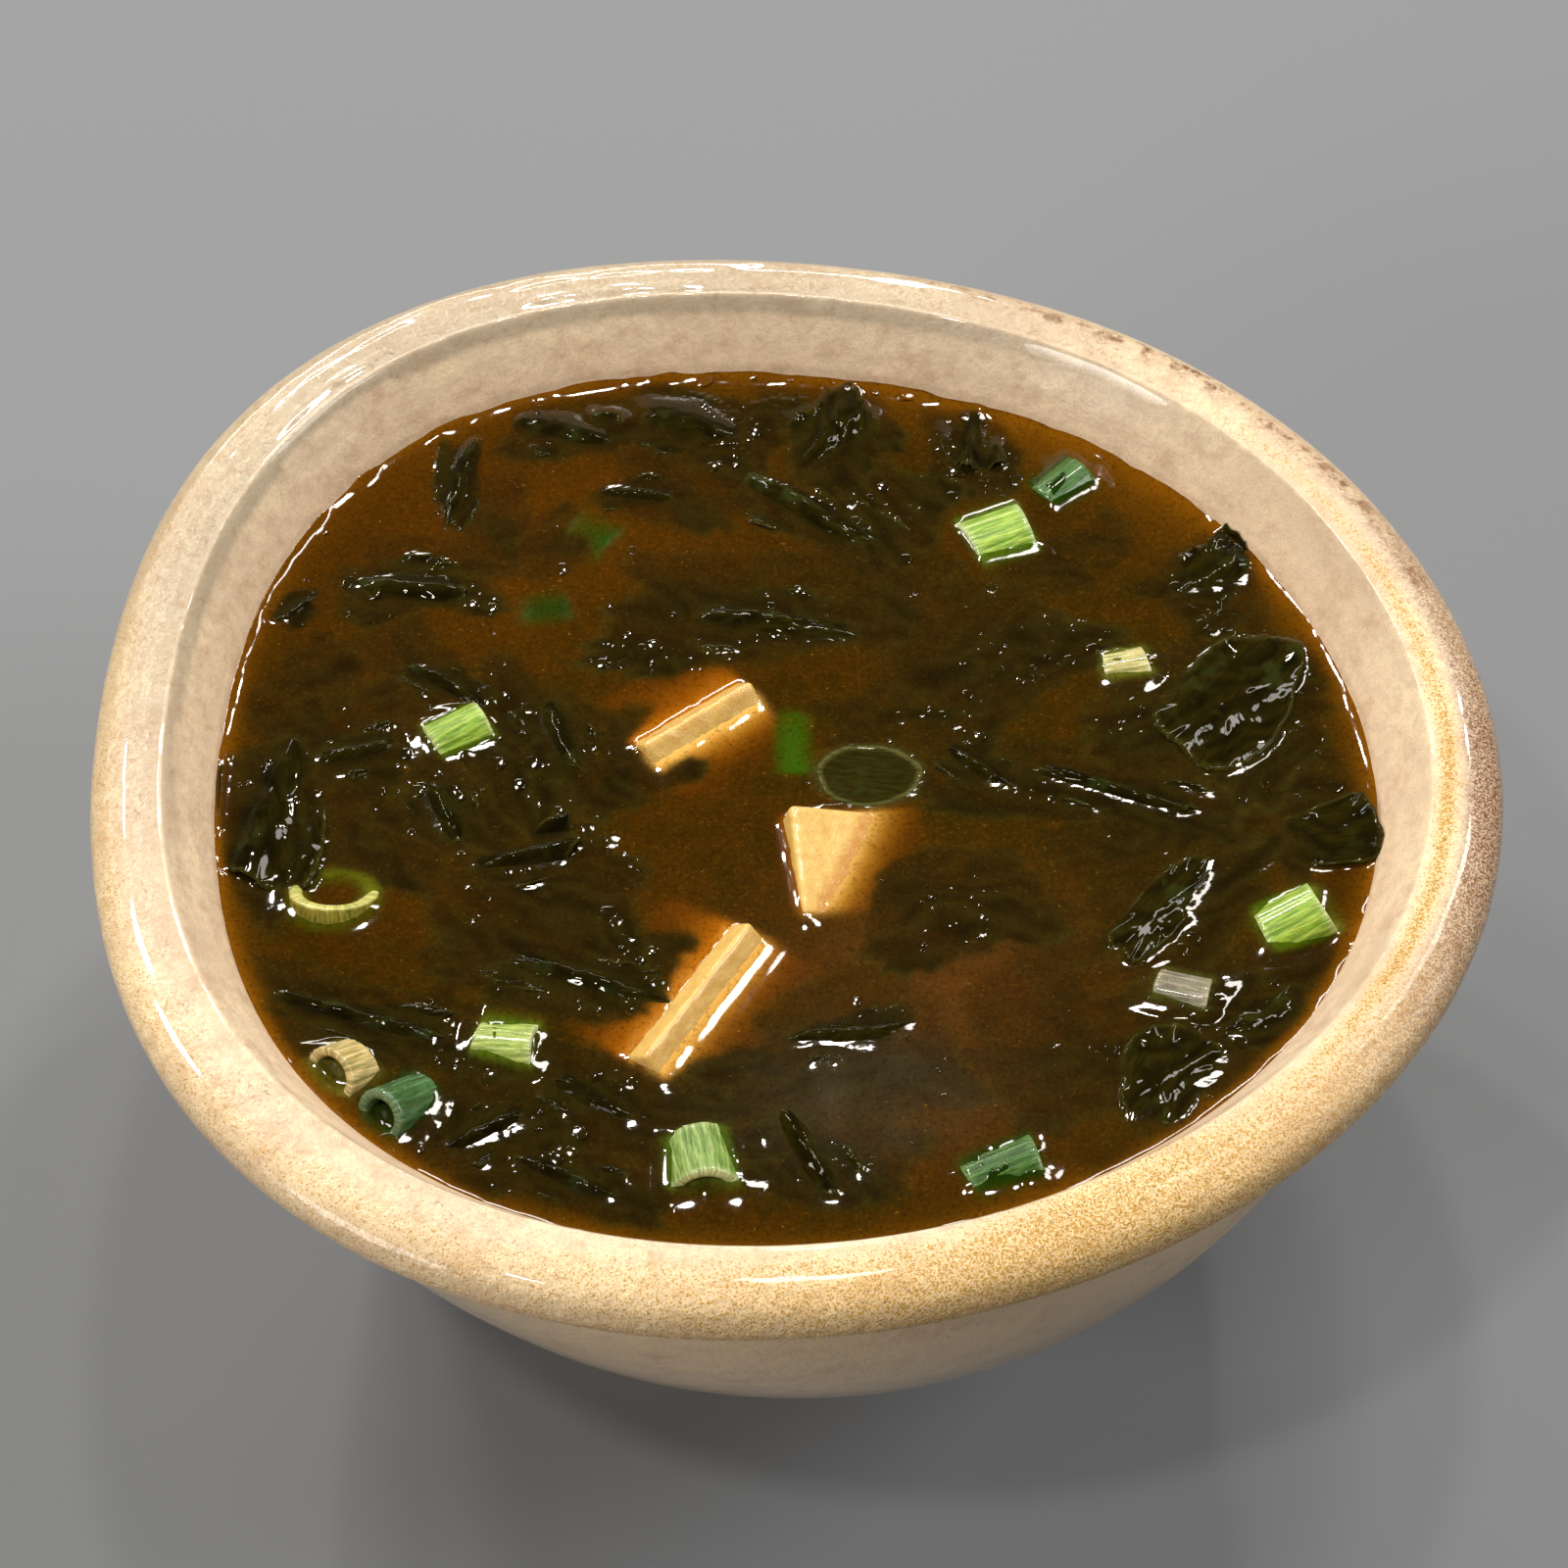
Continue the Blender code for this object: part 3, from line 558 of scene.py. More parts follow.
# by solid: length, width, heading, rise, lift, crease, phase, squareness, droop
leafRows = dict(
    wakame_far_left_strip=(12.2, 4.6, -88, 0.6, 0.0, 0.3, 0.4, 0.7, 0.5),
    wakame_left_back=(12.5, 7.2, 14, 0.6, 0.4, 0.4, 1.3, 0.8, 0.6),
    wakame_far_a=(10.5, 6.0, 2, 0.8, 0.0, 0.5, 2.2, 0.8, 0.6),
    wakame_far_b=(10.0, 8.8, 10, 0.7, 0.0, 0.4, 0.9, 0.8, 0.6),
    wakame_far_c=(12.0, 9.2, 84, 0.6, 0.6, 0.3, 2.8, 0.9, 0.4),
    wakame_far_d=(8.8, 5.2, -76, 1.2, 0.6, 0.6, 1.9, 0.8, 0.3),
    wakame_back_fold=(16.0, 7.2, -20, 0.8, 0.0, 0.6, 0.2, 0.8, 0.6),
    wakame_middle=(16.5, 7.8, 6, 0.5, 0.0, 0.4, 1.1, 0.8, 0.7),
    wakame_right_back=(10.0, 6.6, 58, 0.9, 0.6, 0.1, 2.6, 0.7, 0.4),
    wakame_right=(18.0, 11.2, 58, 0.9, 0.0, 0.12, 0.7, 0.8, 0.2),
    wakame_right_edge=(8.6, 7.2, 8, 1.6, 1.0, 0.1, 1.6, 0.5, 0.0),
    wakame_right_band=(16.5, 4.4, -10, 0.7, 0.0, 0.5, 2.1, 0.8, 0.5),
    wakame_right_near=(14.0, 4.8, 54, 0.5, 0.0, 0.06, 0.5, 0.8, 0.25),
    wakame_near_right=(11.2, 8.0, 64, 0.8, 0.0, 0.10, 1.4, 0.8, 0.2),
    wakame_near_right_edge=(9.0, 4.6, 40, 0.6, 0.0, 0.06, 2.4, 0.8, 0.5),
    wakame_left_edge=(18.0, 10.5, -80, 0.9, 0.4, 0.4, 0.1, 0.7, 0.2),
    wakame_near_left=(17.0, 4.0, -9, 0.8, 0.0, 0.4, 1.8, 0.8, 0.4),
    wakame_strip=(16.0, 4.6, -9, 0.5, 0.0, 0.3, 0.8, 0.6, 0.4),
    wakame_fin=(11.0, 5.2, 30, 1.2, 0.6, 0.7, 2.0, 0.8, 0.4),
    wakame_left_middle=(8.0, 5.4, -42, 0.6, 0.0, 0.4, 1.2, 0.8, 0.5),
    wakame_tofu_side=(9.5, 5.6, -50, 0.5, 0.0, 0.4, 2.9, 0.8, 0.6),
    wakame_near_middle=(11.0, 4.6, 21, 0.6, 0.0, 0.3, 0.3, 0.8, 0.6),
    wakame_near_edge=(10.4, 5.4, -46, 0.7, 0.0, 0.4, 1.7, 0.8, 0.5),
    wakame_left_tip=(5.0, 3.6, 70, 0.5, 0.0, 0.2, 0.6, 0.7, 0.3),
    wakame_left_band=(10.0, 3.4, -24, 0.6, 0.0, 0.3, 1.0, 0.8, 0.4),
    wakame_left_inner=(8.0, 5.0, 38, 0.4, 0.0, 0.3, 2.3, 0.8, 0.5),
    wakame_left_far=(7.8, 4.2, 14, 0.5, 0.0, 0.4, 1.5, 0.8, 0.5),
    wakame_right_middle=(8.0, 4.2, -22, 0.5, 0.0, 0.4, 0.5, 0.8, 0.5),
    wakame_near_left_a=(8.0, 4.6, 52, 0.6, 0.0, 0.4, 2.7, 0.8, 0.5),
    wakame_near_left_b=(8.4, 4.6, -14, 0.6, 0.0, 0.4, 0.9, 0.8, 0.5),
    wakame_near_left_edge=(10.0, 4.2, -12, 0.6, 0.0, 0.4, 2.0, 0.8, 0.5))
leafLook = dict(
    wet=tint(41, 34, 6), edge=tint(62, 56, 14), veinAndFoldShade=tint(16, 12, 2), moss=tint(48, 56, 22),
    wobble=((3, 0.10), (5, 0.06)), ragged=0.06, wrinkle=0.08, wrinkleSize=2.6, low=0.28, thickness=0.28,
    spokes=110, rings=18,
    fromWall=0.35 * mm, calm=("wakame_right_edge", "wakame_left_edge", "wakame_right", "wakame_right_near",
                              "wakame_near_right", "wakame_near_right_edge"))


# one wrinkled leaf with a ragged edge: its points in rings from the middle, and their colours
def leafSheet(middle, row, seed, torn=1.0, wrinkled=1.0):
    length, width, heading, rise, lift, crease, phase, square, droop = row
    spokes, rings = leafLook["spokes"], leafLook["rings"]
    turn = np.arange(spokes) * math.tau / spokes
    share = (np.arange(1, rings + 1) / rings)[:, None]
    wobble = sum(size * np.sin(times * turn + phase * times) for times, size in leafLook["wobble"])
    wobble = 1.0 + (0.5 + 0.5 * torn) * wobble
    frayed = billow(turn * 3.0, turn * 0 + seed, 0.5, 3, seed) + 0.3 * np.sin(turn * 23 + seed)
    ragged = leafLook["ragged"] * torn * frayed
    cosine = np.sign(np.cos(turn)) * np.abs(np.cos(turn)) ** square
    sine = np.sign(np.sin(turn)) * np.abs(np.sin(turn)) ** square
    u = share * (wobble + ragged) * cosine
    v = share * (wobble + ragged) * sine
    along, across = u * length / 2, v * width / 2
    facing = math.radians(heading)
    x = along * math.cos(facing) - across * math.sin(facing)
    y = along * math.sin(facing) + across * math.cos(facing)
    size = leafLook["wrinkleSize"]
    warp = billow(along, across, 5.0, 2, seed + 3)
    folds = np.sin((across + 0.35 * along + 3.2 * warp) * math.tau / size + phase)
    small = billow(along * 0.8, across * 1.1, 1.5, 3, seed + 7)
    z = np.where(rise > 0, rise * leafLook["low"], rise) + lift * u
    z = z + crease * (np.cos(math.pi * (u + 1.4 * v)) - 0.45)
    z = z + leafLook["wrinkle"] * wrinkled * (0.45 * folds + 2.4 * small)
    edgeShare = np.clip(share, 0, 1) ** 4
    curl = 0.5 * billow(turn * 2.2, turn * 0 + seed * 1.7, 0.6, 2, seed + 9)[None, :]
    z = z + edgeShare * (curl * 0.7 - droop * 0.9)
    points = np.stack([x, y, z], -1).reshape(-1, 3)
    centre = points[:spokes].mean(0)
    points = np.vstack([[centre], points]) * mm
    points[:, 0] += middle[0]
    points[:, 1] += middle[1]
    points[:, 2] += brothLevel
    # painted shade: the low troughs of the folds and wrinkles are coloured darker
    foldShade = np.clip(0.5 + 0.5 * folds * 0.6 + 0.4 * small, 0, 1)
    colours = blendTo(leafLook["veinAndFoldShade"], leafLook["wet"], foldShade)
    colours = blendTo(colours, leafLook["edge"], smoothStep(0.90, 0.98, share) * np.ones_like(foldShade) * 0.7)
    colours = np.vstack([[leafLook["wet"]], colours.reshape(-1, 3)])
    fibre = np.vstack([[[0.0, 0.0]], np.stack([along, across], -1).reshape(-1, 2)])
    return points, fanFaces(spokes, rings), colours, fibre


# bring points in along their own bearing until they are clear of the wall, or lay them up it
def keepOffWall(points, clearance, climbs=0.0):
    share = lobeShare(bowlShape["brothRadius"], brothLevel)
    x, y = points[:, 0] + rimShift[0] * share, points[:, 1] + rimShift[1] * share
    reach, bearing = np.hypot(x, y), np.arctan2(y, x)
    over = np.maximum(reach - (wallAt(bearing, points[:, 2]) - clearance), 0.0)
    points[:, 2] += np.minimum(climbs * over, 1.5 * mm)
    limit = wallAt(bearing, points[:, 2]) - clearance
    pull = np.minimum(1.0, limit / np.maximum(reach, 1e-9))
    points[:, 0], points[:, 1] = x * pull - rimShift[0] * share, y * pull - rimShift[1] * share
    return points


def makeLeafMaterial():
    material, sheet, shader = newMaterial("wetWakame", Roughness=0.55, IOR=1.30, Coat_Weight=0.16,
                                          Coat_Roughness=0.04, Specular_IOR_Level=0.0)
    fibre = sheet.field("fibre").outputs["Vector"]
    lines = placeGroup(sheet, fibreGroup, Vector=fibre, Across=2.6, Along=0.5, Warp=0.5)
    colour = sheet.field("leafColour").outputs["Color"]
    dark = sheet.mix(sheet.times(lines.outputs["Lines"], 0.6), colour, leafLook["veinAndFoldShade"])
    green = sheet.ramp(sheet.noise(sheet.place(), 320.0, 2.0, 0.6), 0.52, 0.75, (0.0, 0.5))
    pebbled = sheet.noise(sheet.place(), 1100.0, 2.0, 0.5)
    height = sheet.plus(sheet.times(lines.outputs["Height"], 0.4), pebbled)
    sheet.finish(shader, sheet.mix(green, dark, leafLook["moss"]), height, 0.18, 0.2 * mm)
    return material


def boxMiddle(node):
    low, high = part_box(node)
    return [(a + b) / 2 for a, b in zip(low, high)]


# close a leaf: the same sheet again just below, and a band round the edge
def thicken(points, faces, spokes, depth):
    count = len(points)
    under = points - np.array([0.0, 0.0, depth])
    closed = faces + [tuple(i + count for i in reversed(face)) for face in faces]
    first = count - spokes
    for i in range(spokes):
        k = (i + 1) % spokes
        closed.append((first + i, first + i + count, first + k + count, first + k))
    return np.vstack([points, under]), closed


roundLeaf = dict(length=9.8, width=7.4, face=tint(44, 39, 10), edge=tint(96, 96, 50), depth=0.16)


# the thin round slice that lies flat in the surface
def makeRoundLeaf(under):
    middle = boxMiddle("wakame_round")
    spokes, rings = 96, 14
    turn = np.arange(spokes) * math.tau / spokes
    share = (np.arange(1, rings + 1) / rings)[:, None]
    rim = 1.0 + 0.03 * np.sin(3 * turn + 1.0) + 0.015 * np.sin(7 * turn)
    x = share * rim * np.cos(turn) * roundLeaf["length"] / 2
    y = share * rim * np.sin(turn) * roundLeaf["width"] / 2
    z = 0.10 * billow(x, y, 2.2, 3, 8) + 0.10 * share ** 8 - 0.02
    points = np.vstack([[[0, 0, 0]], np.stack([x, y, z], -1).reshape(-1, 3)]) * mm
    points += np.array([middle[0], middle[1], brothLevel - roundLeaf["depth"] * mm])
    edge = smoothStep(0.86, 0.97, share) * np.ones_like(x) * 0.8
    colours = blendTo(roundLeaf["face"], roundLeaf["edge"], edge)
    colours = np.vstack([[roundLeaf["face"]], colours.reshape(-1, 3)])
    faces = fanFaces(spokes, rings)
    under.append((points, faces, colours, leafFade))
    closed, allFaces = thicken(points, faces, spokes, 0.3 * mm)
    piece = meshPiece("slice_wakame_round", closed, allFaces, wetWakame)
    paint(piece, "leafColour", np.vstack([colours, colours]))
    measureVectors(piece, "fibre", (closed[:, :2] - closed[0, :2]) / mm)
    dress(piece, "wakame_round")


def makeLeaves(under):
    makeRoundLeaf(under)
    for number, (node, row) in enumerate(leafRows.items()):
        middle = boxMiddle(node)
        torn, wrinkled = (0.5, 0.5) if node in leafLook["calm"] else (1.4, 1.0)
        points, faces, colours, fibre = leafSheet(middle, row, 100 + 13 * number, torn, wrinkled)
        # one leaf stands further up the wall than the others
        climbs = 1.8 if node == "wakame_right_edge" else 0.7
        points = keepOffWall(points, leafLook["fromWall"], climbs)
        under.append((points, faces, colours, leafFade))
        closed, allFaces = thicken(points, faces, leafLook["spokes"], leafLook["thickness"] * mm)
        piece = meshPiece("leaf_" + node, closed, allFaces, wetWakame)
        paint(piece, "leafColour", np.vstack([colours, colours]))
        measureVectors(piece, "fibre", np.vstack([fibre, fibre]))
        dress(piece, node)


# leaves that lie wholly under the surface: middle in mm, length, width, heading, depth, tilt along,
# tilt across, phase
sunkRows = (
    (-29.5, 33.0, 7, 12, 10, 1.6, 0.3, 0.6, 0.2), (-35.5, 24.5, 13, 9, 8, 1.1, 0.2, 0.8, 1.1),
    (-36.0, 16.5, 10, 6, -60, 2.0, 0.8, 0.2, 2.1), (-19.5, 46.0, 16, 7, 6, 0.9, 0.4, 0.5, 0.7),
    (-8.0, 44.5, 15, 13, -20, 1.0, 0.5, -0.6, 1.9), (-11.0, 37.0, 13, 8, -30, 1.4, 0.5, 0.4, 2.5),
    (5.0, 46.0, 10, 14, 20, 1.0, 0.3, 0.6, 0.5), (8.0, 33.5, 14, 13, -35, 0.9, 0.5, -0.5, 1.5),
    (-1.0, 20.5, 30, 12, 5, 1.3, -0.8, 0.5, 0.9), (10.5, 24.0, 9, 16, -20, 1.7, 0.4, 0.5, 2.7),
    (19.0, 14.0, 20, 15, 48, 0.9, 0.4, 0.5, 1.2), (12.0, 7.5, 16, 5, 12, 1.5, 0.6, 0.2, 0.3),
    (19.5, 43.5, 8, 11, 10, 0.9, 0.2, 0.5, 1.8), (42.0, 24.5, 12, 9, 50, 1.1, -0.5, 0.4, 0.6),
    (41.5, 9.0, 22, 16, 50, 0.8, -0.3, 0.5, 2.2), (27.5, -1.8, 26, 8, -8, 0.8, 0.4, 0.5, 1.0),
    (33.0, -8.0, 16, 10, 40, 1.5, 0.5, 0.3, 2.9), (36.5, -16.0, 20, 9, 52, 0.9, 0.3, 0.5, 0.4),
    (35.0, -30.0, 19, 13, 60, 0.8, 0.2, 0.5, 1.7), (44.5, -24.0, 12, 8, 40, 1.2, 0.3, 0.5, 2.4),
    (15.5, -15.8, 15, 11, 10, 0.7, 0.3, 0.6, 0.8), (5.5, -33.5, 20, 13, 24, 1.1, -0.5, 0.6, 1.4),
    (3.0, -42.5, 16, 8, -20, 0.9, 0.3, 0.5, 2.0), (25.5, -33.0, 16, 10, 25, 1.3, 0.6, 0.4, 0.1),
    (-48.0, -5.0, 8, 20, -8, 0.8, 0.3, 0.3, 1.3), (-42.5, 3.5, 12, 16, 20, 1.2, 0.4, 0.5, 2.6),
    (-31.0, 7.0, 18, 8, -20, 1.3, 0.4, 0.4, 0.9), (-23.0, 4.0, 18, 12, -45, 0.8, 0.3, 0.5, 1.6),
    (-15.0, 1.0, 9, 12, -50, 1.2, 0.6, 0.3, 2.3), (-30.5, -3.5, 13, 9, -30, 1.0, 0.4, 0.4, 0.5),
    (-21.5, -14.5, 17, 12, -8, 0.8, 0.5, 0.3, 1.1), (-19.5, -22.5, 20, 8, -8, 0.7, 0.2, 0.3, 1.9),
    (-38.0, -8.5, 12, 7, -30, 1.3, 0.3, 0.4, 2.8), (-37.0, -29.0, 22, 8, -12, 0.8, 0.2, 0.5, 0.6),
    (-27.5, -21.5, 9, 7, 20, 1.6, 0.3, 0.4, 1.3), (-26.5, -39.5, 14, 12, 30, 0.9, 0.3, 0.5, 2.1),
    (-15.5, -37.0, 15, 9, -12, 0.9, 0.3, 0.4, 0.3), (-17.0, -45.0, 16, 7, -12, 0.9, 0.2, 0.4, 1.5),
    (-8.0, -37.5, 8, 6, 10, 1.0, 0.2, 0.4, 2.9), (30.5, -44.0, 9, 5, 30, 1.4, 0.2, 0.3, 0.8),
    (26.0, 26.5, 8, 6, 20, 2.0, 0.3, 0.3, 1.6), (31.5, 30.0, 6, 5, 50, 2.2, 0.3, 0.3, 0.2),
    (-24.0, 29.5, 10, 6, 30, 1.6, 0.4, 0.3, 1.9), (-44.0, 12.5, 7, 7, 60, 1.5, 0.3, 0.4, 2.4),
    (49.0, -3.0, 9, 16, 12, 1.0, 0.3, 0.4, 1.0), (24.5, -24.0, 10, 14, -30, 2.2, 0.4, 0.4, 0.7))


awashDepth = 0.42 * mm  # what lies at least this deep is covered by the broth


def sunkSheets(under):
    for number, (x, y, length, width, heading, depth, tiltAlong, tiltAcross, phase) in enumerate(sunkRows):
        row = (length * 1.16, width * 1.22, heading, 0.15 - 0.6 * depth, tiltAlong * 0.8, 0.35, phase, 0.55,
               0.7)
        points, faces, colours, fibre = leafSheet(rimFrame(x * mm, y * mm), row, 900 + 7 * number, 2.2)
        # lean across as well, so that one side fades away
        spread = math.radians(heading + 90)
        across = ((points[:, 0] - points[0, 0]) * math.cos(spread)
                  + (points[:, 1] - points[0, 1]) * math.sin(spread))
        points[:, 2] -= 0.7 * tiltAcross * mm * across / (width / 2 * mm)
        points[:, 2] = np.minimum(points[:, 2], brothLevel - awashDepth)
        under.append((keepOffWall(points, 0.8 * mm), faces, colours, leafFade))


# by solid: outer radius, wall, length, heading, tilt, outside, stripe, cut end
onionRows = dict(
    onion_a=(2.8, 0.8, 4.8, -30, 8, (44, 84, 12), (62, 104, 26), (120, 150, 90)),
    onion_b=(2.3, 0.7, 4.2, 10, 4, (42, 76, 12), (50, 88, 20), (110, 140, 80)),
    onion_c=(2.9, 0.9, 5.2, 42, 6, (46, 88, 24), (72, 112, 46), (84, 122, 58)),
    onion_d=(3.5, 1.0, 6.4, 22, 5, (112, 154, 30), (178, 198, 92), (210, 214, 178)),
    onion_e=(2.0, 0.7, 4.2, 9, 6, (170, 160, 92), (200, 192, 132), (222, 216, 176)),
    onion_f=(2.8, 0.9, 5.2, 30, 6, (114, 152, 26), (160, 180, 76), (206, 214, 150)),
    onion_g=(4.1, 1.2, 3.4, 88, 66, (150, 140, 40), (176, 168, 70), (184, 178, 92)),
    onion_h=(2.5, 0.8, 5.4, -12, 10, (134, 154, 54), (174, 190, 102), (212, 216, 164)),
    onion_i=(2.6, 0.9, 5.4, 50, -30, (42, 82, 22), (84, 118, 74), (104, 136, 100)),
    onion_j=(3.3, 1.0, 5.8, -80, 12, (104, 136, 52), (154, 172, 102), (198, 206, 148)),
    onion_k=(3.0, 1.0, 6.0, 20, 20, (114, 150, 26), (164, 184, 74), (208, 214, 158)),
    onion_l=(2.2, 0.7, 4.4, -18, 6, (104, 97, 78), (154, 146, 122), (186, 178, 148)),
    onion_m=(2.6, 0.8, 6.4, 22, 8, (42, 78, 14), (70, 108, 40), (120, 148, 92)),
    onion_n=(2.7, 0.8, 3.4, 45, -26, (176, 152, 88), (206, 186, 128), (214, 196, 140)))
onionLook = dict(around=56, along=16, flatten=0.90, stain=np.array([0.20, 0.24, 0.06]),
                 awash=("onion_a", "onion_b"), awashStain=np.array([0.22, 0.42, 0.5]))


# a cut ring of stalk: outside, rounded cut ends, bore, with the layers shown on the ends
def onionMesh(node, row, seed):
    radius, wall, length, heading, tilt = row[:5]
    outside, stripe, cutEnd = (np.array(tint(*c)) for c in row[5:])
    around = onionLook["around"]
    turn = np.arange(around) * math.tau / around
    rows = []
    for x in np.linspace(-0.5, 0.5, onionLook["along"]):
        rows.append((x * length, radius * (1 - 0.03 * (x + 0.5)), 0.0))
    for t in (0.15, 0.5, 0.85):
        rows.append((0.5 * length + 0.10 * math.sin(t * math.pi), radius * 0.97 - wall * t, 1.0))
    for x in np.linspace(0.48, -0.48, 6):
        rows.append((x * length, radius * 0.97 - wall, 0.6))
    for t in (0.85, 0.5, 0.15):
        rows.append((-0.5 * length - 0.10 * math.sin(t * math.pi), radius - wall * t, 1.0))
    points, colours, stalk = [], [], []
    ridges = 0.035 * np.sin(turn * 17 + seed) + 0.02 * np.sin(turn * 31 + 2 * seed)
    lean = 0.10 * np.sin(turn * 2 + seed)
    cut = 0.18 * np.cos(turn + seed)
    for along, reach, end in rows:
        slope = along / (length / 2)
        r = reach * (1 + lean * 0.5) + ridges * (1 - end)
        points.append(np.stack([along + cut * slope ** 3 * np.ones(around), r * np.cos(turn),
                                r * np.sin(turn) * onionLook["flatten"]], -1))
        mixed = 0.3 * cloud(turn * 9, turn * 0 + along, 1.0, seed)
        lines = np.clip(0.5 + 0.5 * np.sin(turn * 17 + seed) + mixed, 0, 1)
        colour = blendTo(outside, stripe, lines * 0.7)
        pale = np.clip(abs(slope) - 0.8, 0, 1) * 2.2 * (1 - end)
        colour = blendTo(colour, cutEnd, pale * np.ones(around))
        colour = blendTo(colour, cutEnd, end * np.ones(around))
        colours.append(colour)
        stalk.append(np.stack([along * np.ones(around), turn * radius, np.zeros(around)], -1))
    points = np.concatenate(points) * mm
    turned = Euler((0.0, math.radians(-tilt), math.radians(heading)), "XYZ").to_matrix().to_4x4()
    placed = Matrix.Translation(Vector(boxMiddle(node))) @ turned
    points = np.array([tuple(placed @ Vector(p)) for p in points])
    faces = []
    for i in range(len(rows)):
        a, b = i * around, ((i + 1) % len(rows)) * around
        for j in range(around):
            k = (j + 1) % around
            faces.append((a + j, a + k, b + k, b + j))
    return points, faces, np.concatenate(colours), np.concatenate(stalk)


sunkSliceLook = dict(length=7.6, width=3.4, place=(1.2 * mm, 3.8 * mm), colour=tint(40, 92, 12))


# a slice lying well under the surface, seen only through the broth
def sunkSlice(under):
    length, width = sunkSliceLook["length"], sunkSliceLook["width"]
    rows, columns = 12, 24
    u, v = np.meshgrid(np.linspace(-1, 1, columns), np.linspace(-1, 1, rows))
    x, y = rimFrame(*sunkSliceLook["place"])
    bend = 0.12 * u * u
    points = np.stack([x + (v * width / 2 + bend) * mm, y + u * length / 2 * mm,
                       brothLevel - (1.0 + 0.9 * v * v + 0.2 * u) * mm], -1).reshape(-1, 3)
    colours = np.tile(sunkSliceLook["colour"], (len(points), 1))
    under.append((points, gridFaces(rows, columns), colours, onionFade))


def makeOnionMaterial():
    material, sheet, shader = newMaterial("wetSpringOnion", Roughness=0.40, IOR=1.4, Coat_Weight=0.5,
                                          Coat_Roughness=0.08, Subsurface_Weight=0.12, Subsurface_Scale=0.001)
    stalk = sheet.field("stalk").outputs["Vector"]
    lines = placeGroup(sheet, fibreGroup, Vector=stalk, Across=3.2, Along=0.35, Warp=0.3)
    colour = sheet.field("stalkColour").outputs["Color"]
    lighter = sheet.mix(1.0, colour, (1.35, 1.32, 1.5), "MULTIPLY")
    darker = sheet.mix(1.0, colour, (0.55, 0.62, 0.45), "MULTIPLY")
    wet = sheet.noise(sheet.place(), 1300.0, 2.0, 0.6)
    height = sheet.plus(lines.outputs["Height"], sheet.times(wet, 0.9))
    sheet.finish(shader, sheet.mix(lines.outputs["Lines"], darker, lighter), height, 0.8, 0.2 * mm)
    return material


def makeOnions(under):
    for number, (node, row) in enumerate(onionRows.items()):
        points, faces, colours, stalk = onionMesh(node, row, 1 + 2 * number)
        stain = onionLook["stain"]
        if node in onionLook["awash"]:
            points[:, 2] += brothLevel - awashDepth - points[:, 2].max()
            stain = onionLook["awashStain"]
        under.append((points, faces, colours * stain, onionFade))
        piece = meshPiece("slice_" + node, points, faces, wetOnion)
        paint(piece, "stalkColour", colours)
        measureVectors(piece, "stalk", stalk)
        dress(piece, node)


# by solid: size in mm, heading, roll, pitch
tofuRows = dict(
    tofu_back=((12.8, 13.0, 12.0), 38.0, 48.0, 0.0),
    tofu_middle=((11.5, 14.0, 12.5), -84.0, 73.0, 9.0),
    tofu_near=((17.6, 13.0, 12.0), 58.5, 50.0, 0.0))
# glow, nearLitGlow, nearLitShare, lit and fades say how a die shows through the broth round it; the faces
# towards the near side and the tops are painted lighter, as painted light, and lit dims a die's whole painted
# colour
tofuLook = dict(cream=tint(214, 176, 98), mottleAndPitShade=tint(186, 138, 66), soaked=tint(176, 112, 28),
                glow=tint(156, 90, 6), nearLitGlow=tint(226, 176, 90), nearLitShare=(1.0, 0.2, 0.8),
                lit=(1.0, 0.72, 1.0), fades=(1.0, 2.8, 1.0), edge=0.45, cuts=30, pits=0.07)


def tofuMesh(node, row, seed):
    size, heading, roll, pitch = row
    bm = bmesh.new()
    bmesh.ops.create_cube(bm, size=1.0)
    bmesh.ops.scale(bm, vec=size, verts=bm.verts)
    bmesh.ops.bevel(bm, geom=bm.edges[:], offset=tofuLook["edge"], segments=3, profile=0.5, affect="EDGES")
    longEdges = [e for e in bm.edges if e.calc_length() > 5.0]
    bmesh.ops.subdivide_edges(bm, edges=longEdges, cuts=tofuLook["cuts"], use_grid_fill=True)
    bm.normal_update()
    for vertex in bm.verts:
        x, y, z = vertex.co
        rough = float(billow(np.array([x + 0.7 * z]), np.array([y - 0.6 * z]), 1.1, 3, seed)[0])
        sag = float(billow(np.array([x - z]), np.array([y + z]), 6.0, 2, seed + 5)[0])
        pit = float(cloud(np.array([x + z * 1.3]), np.array([y + z]), 0.8, seed + 9)[0])
        pit = max(0.0, pit - 0.45)
        vertex.co += vertex.normal * (tofuLook["pits"] * rough + 0.10 * sag - 0.22 * pit)
    angles = (math.radians(roll), math.radians(pitch), math.radians(heading))
    turned = Euler(angles, "XYZ").to_matrix().to_4x4()
    placed = Matrix.Translation(Vector(boxMiddle(node))) @ turned @ Matrix.Scale(mm, 4)
    bmesh.ops.transform(bm, matrix=placed, verts=bm.verts)
    bm.normal_update()
    points = np.array([tuple(v.co) for v in bm.verts])
    normals = np.array([tuple(v.normal) for v in bm.verts])
    bm.verts.index_update()
    faces = [tuple(v.index for v in f.verts) for f in bm.faces]
    bm.free()
    return points, faces, normals


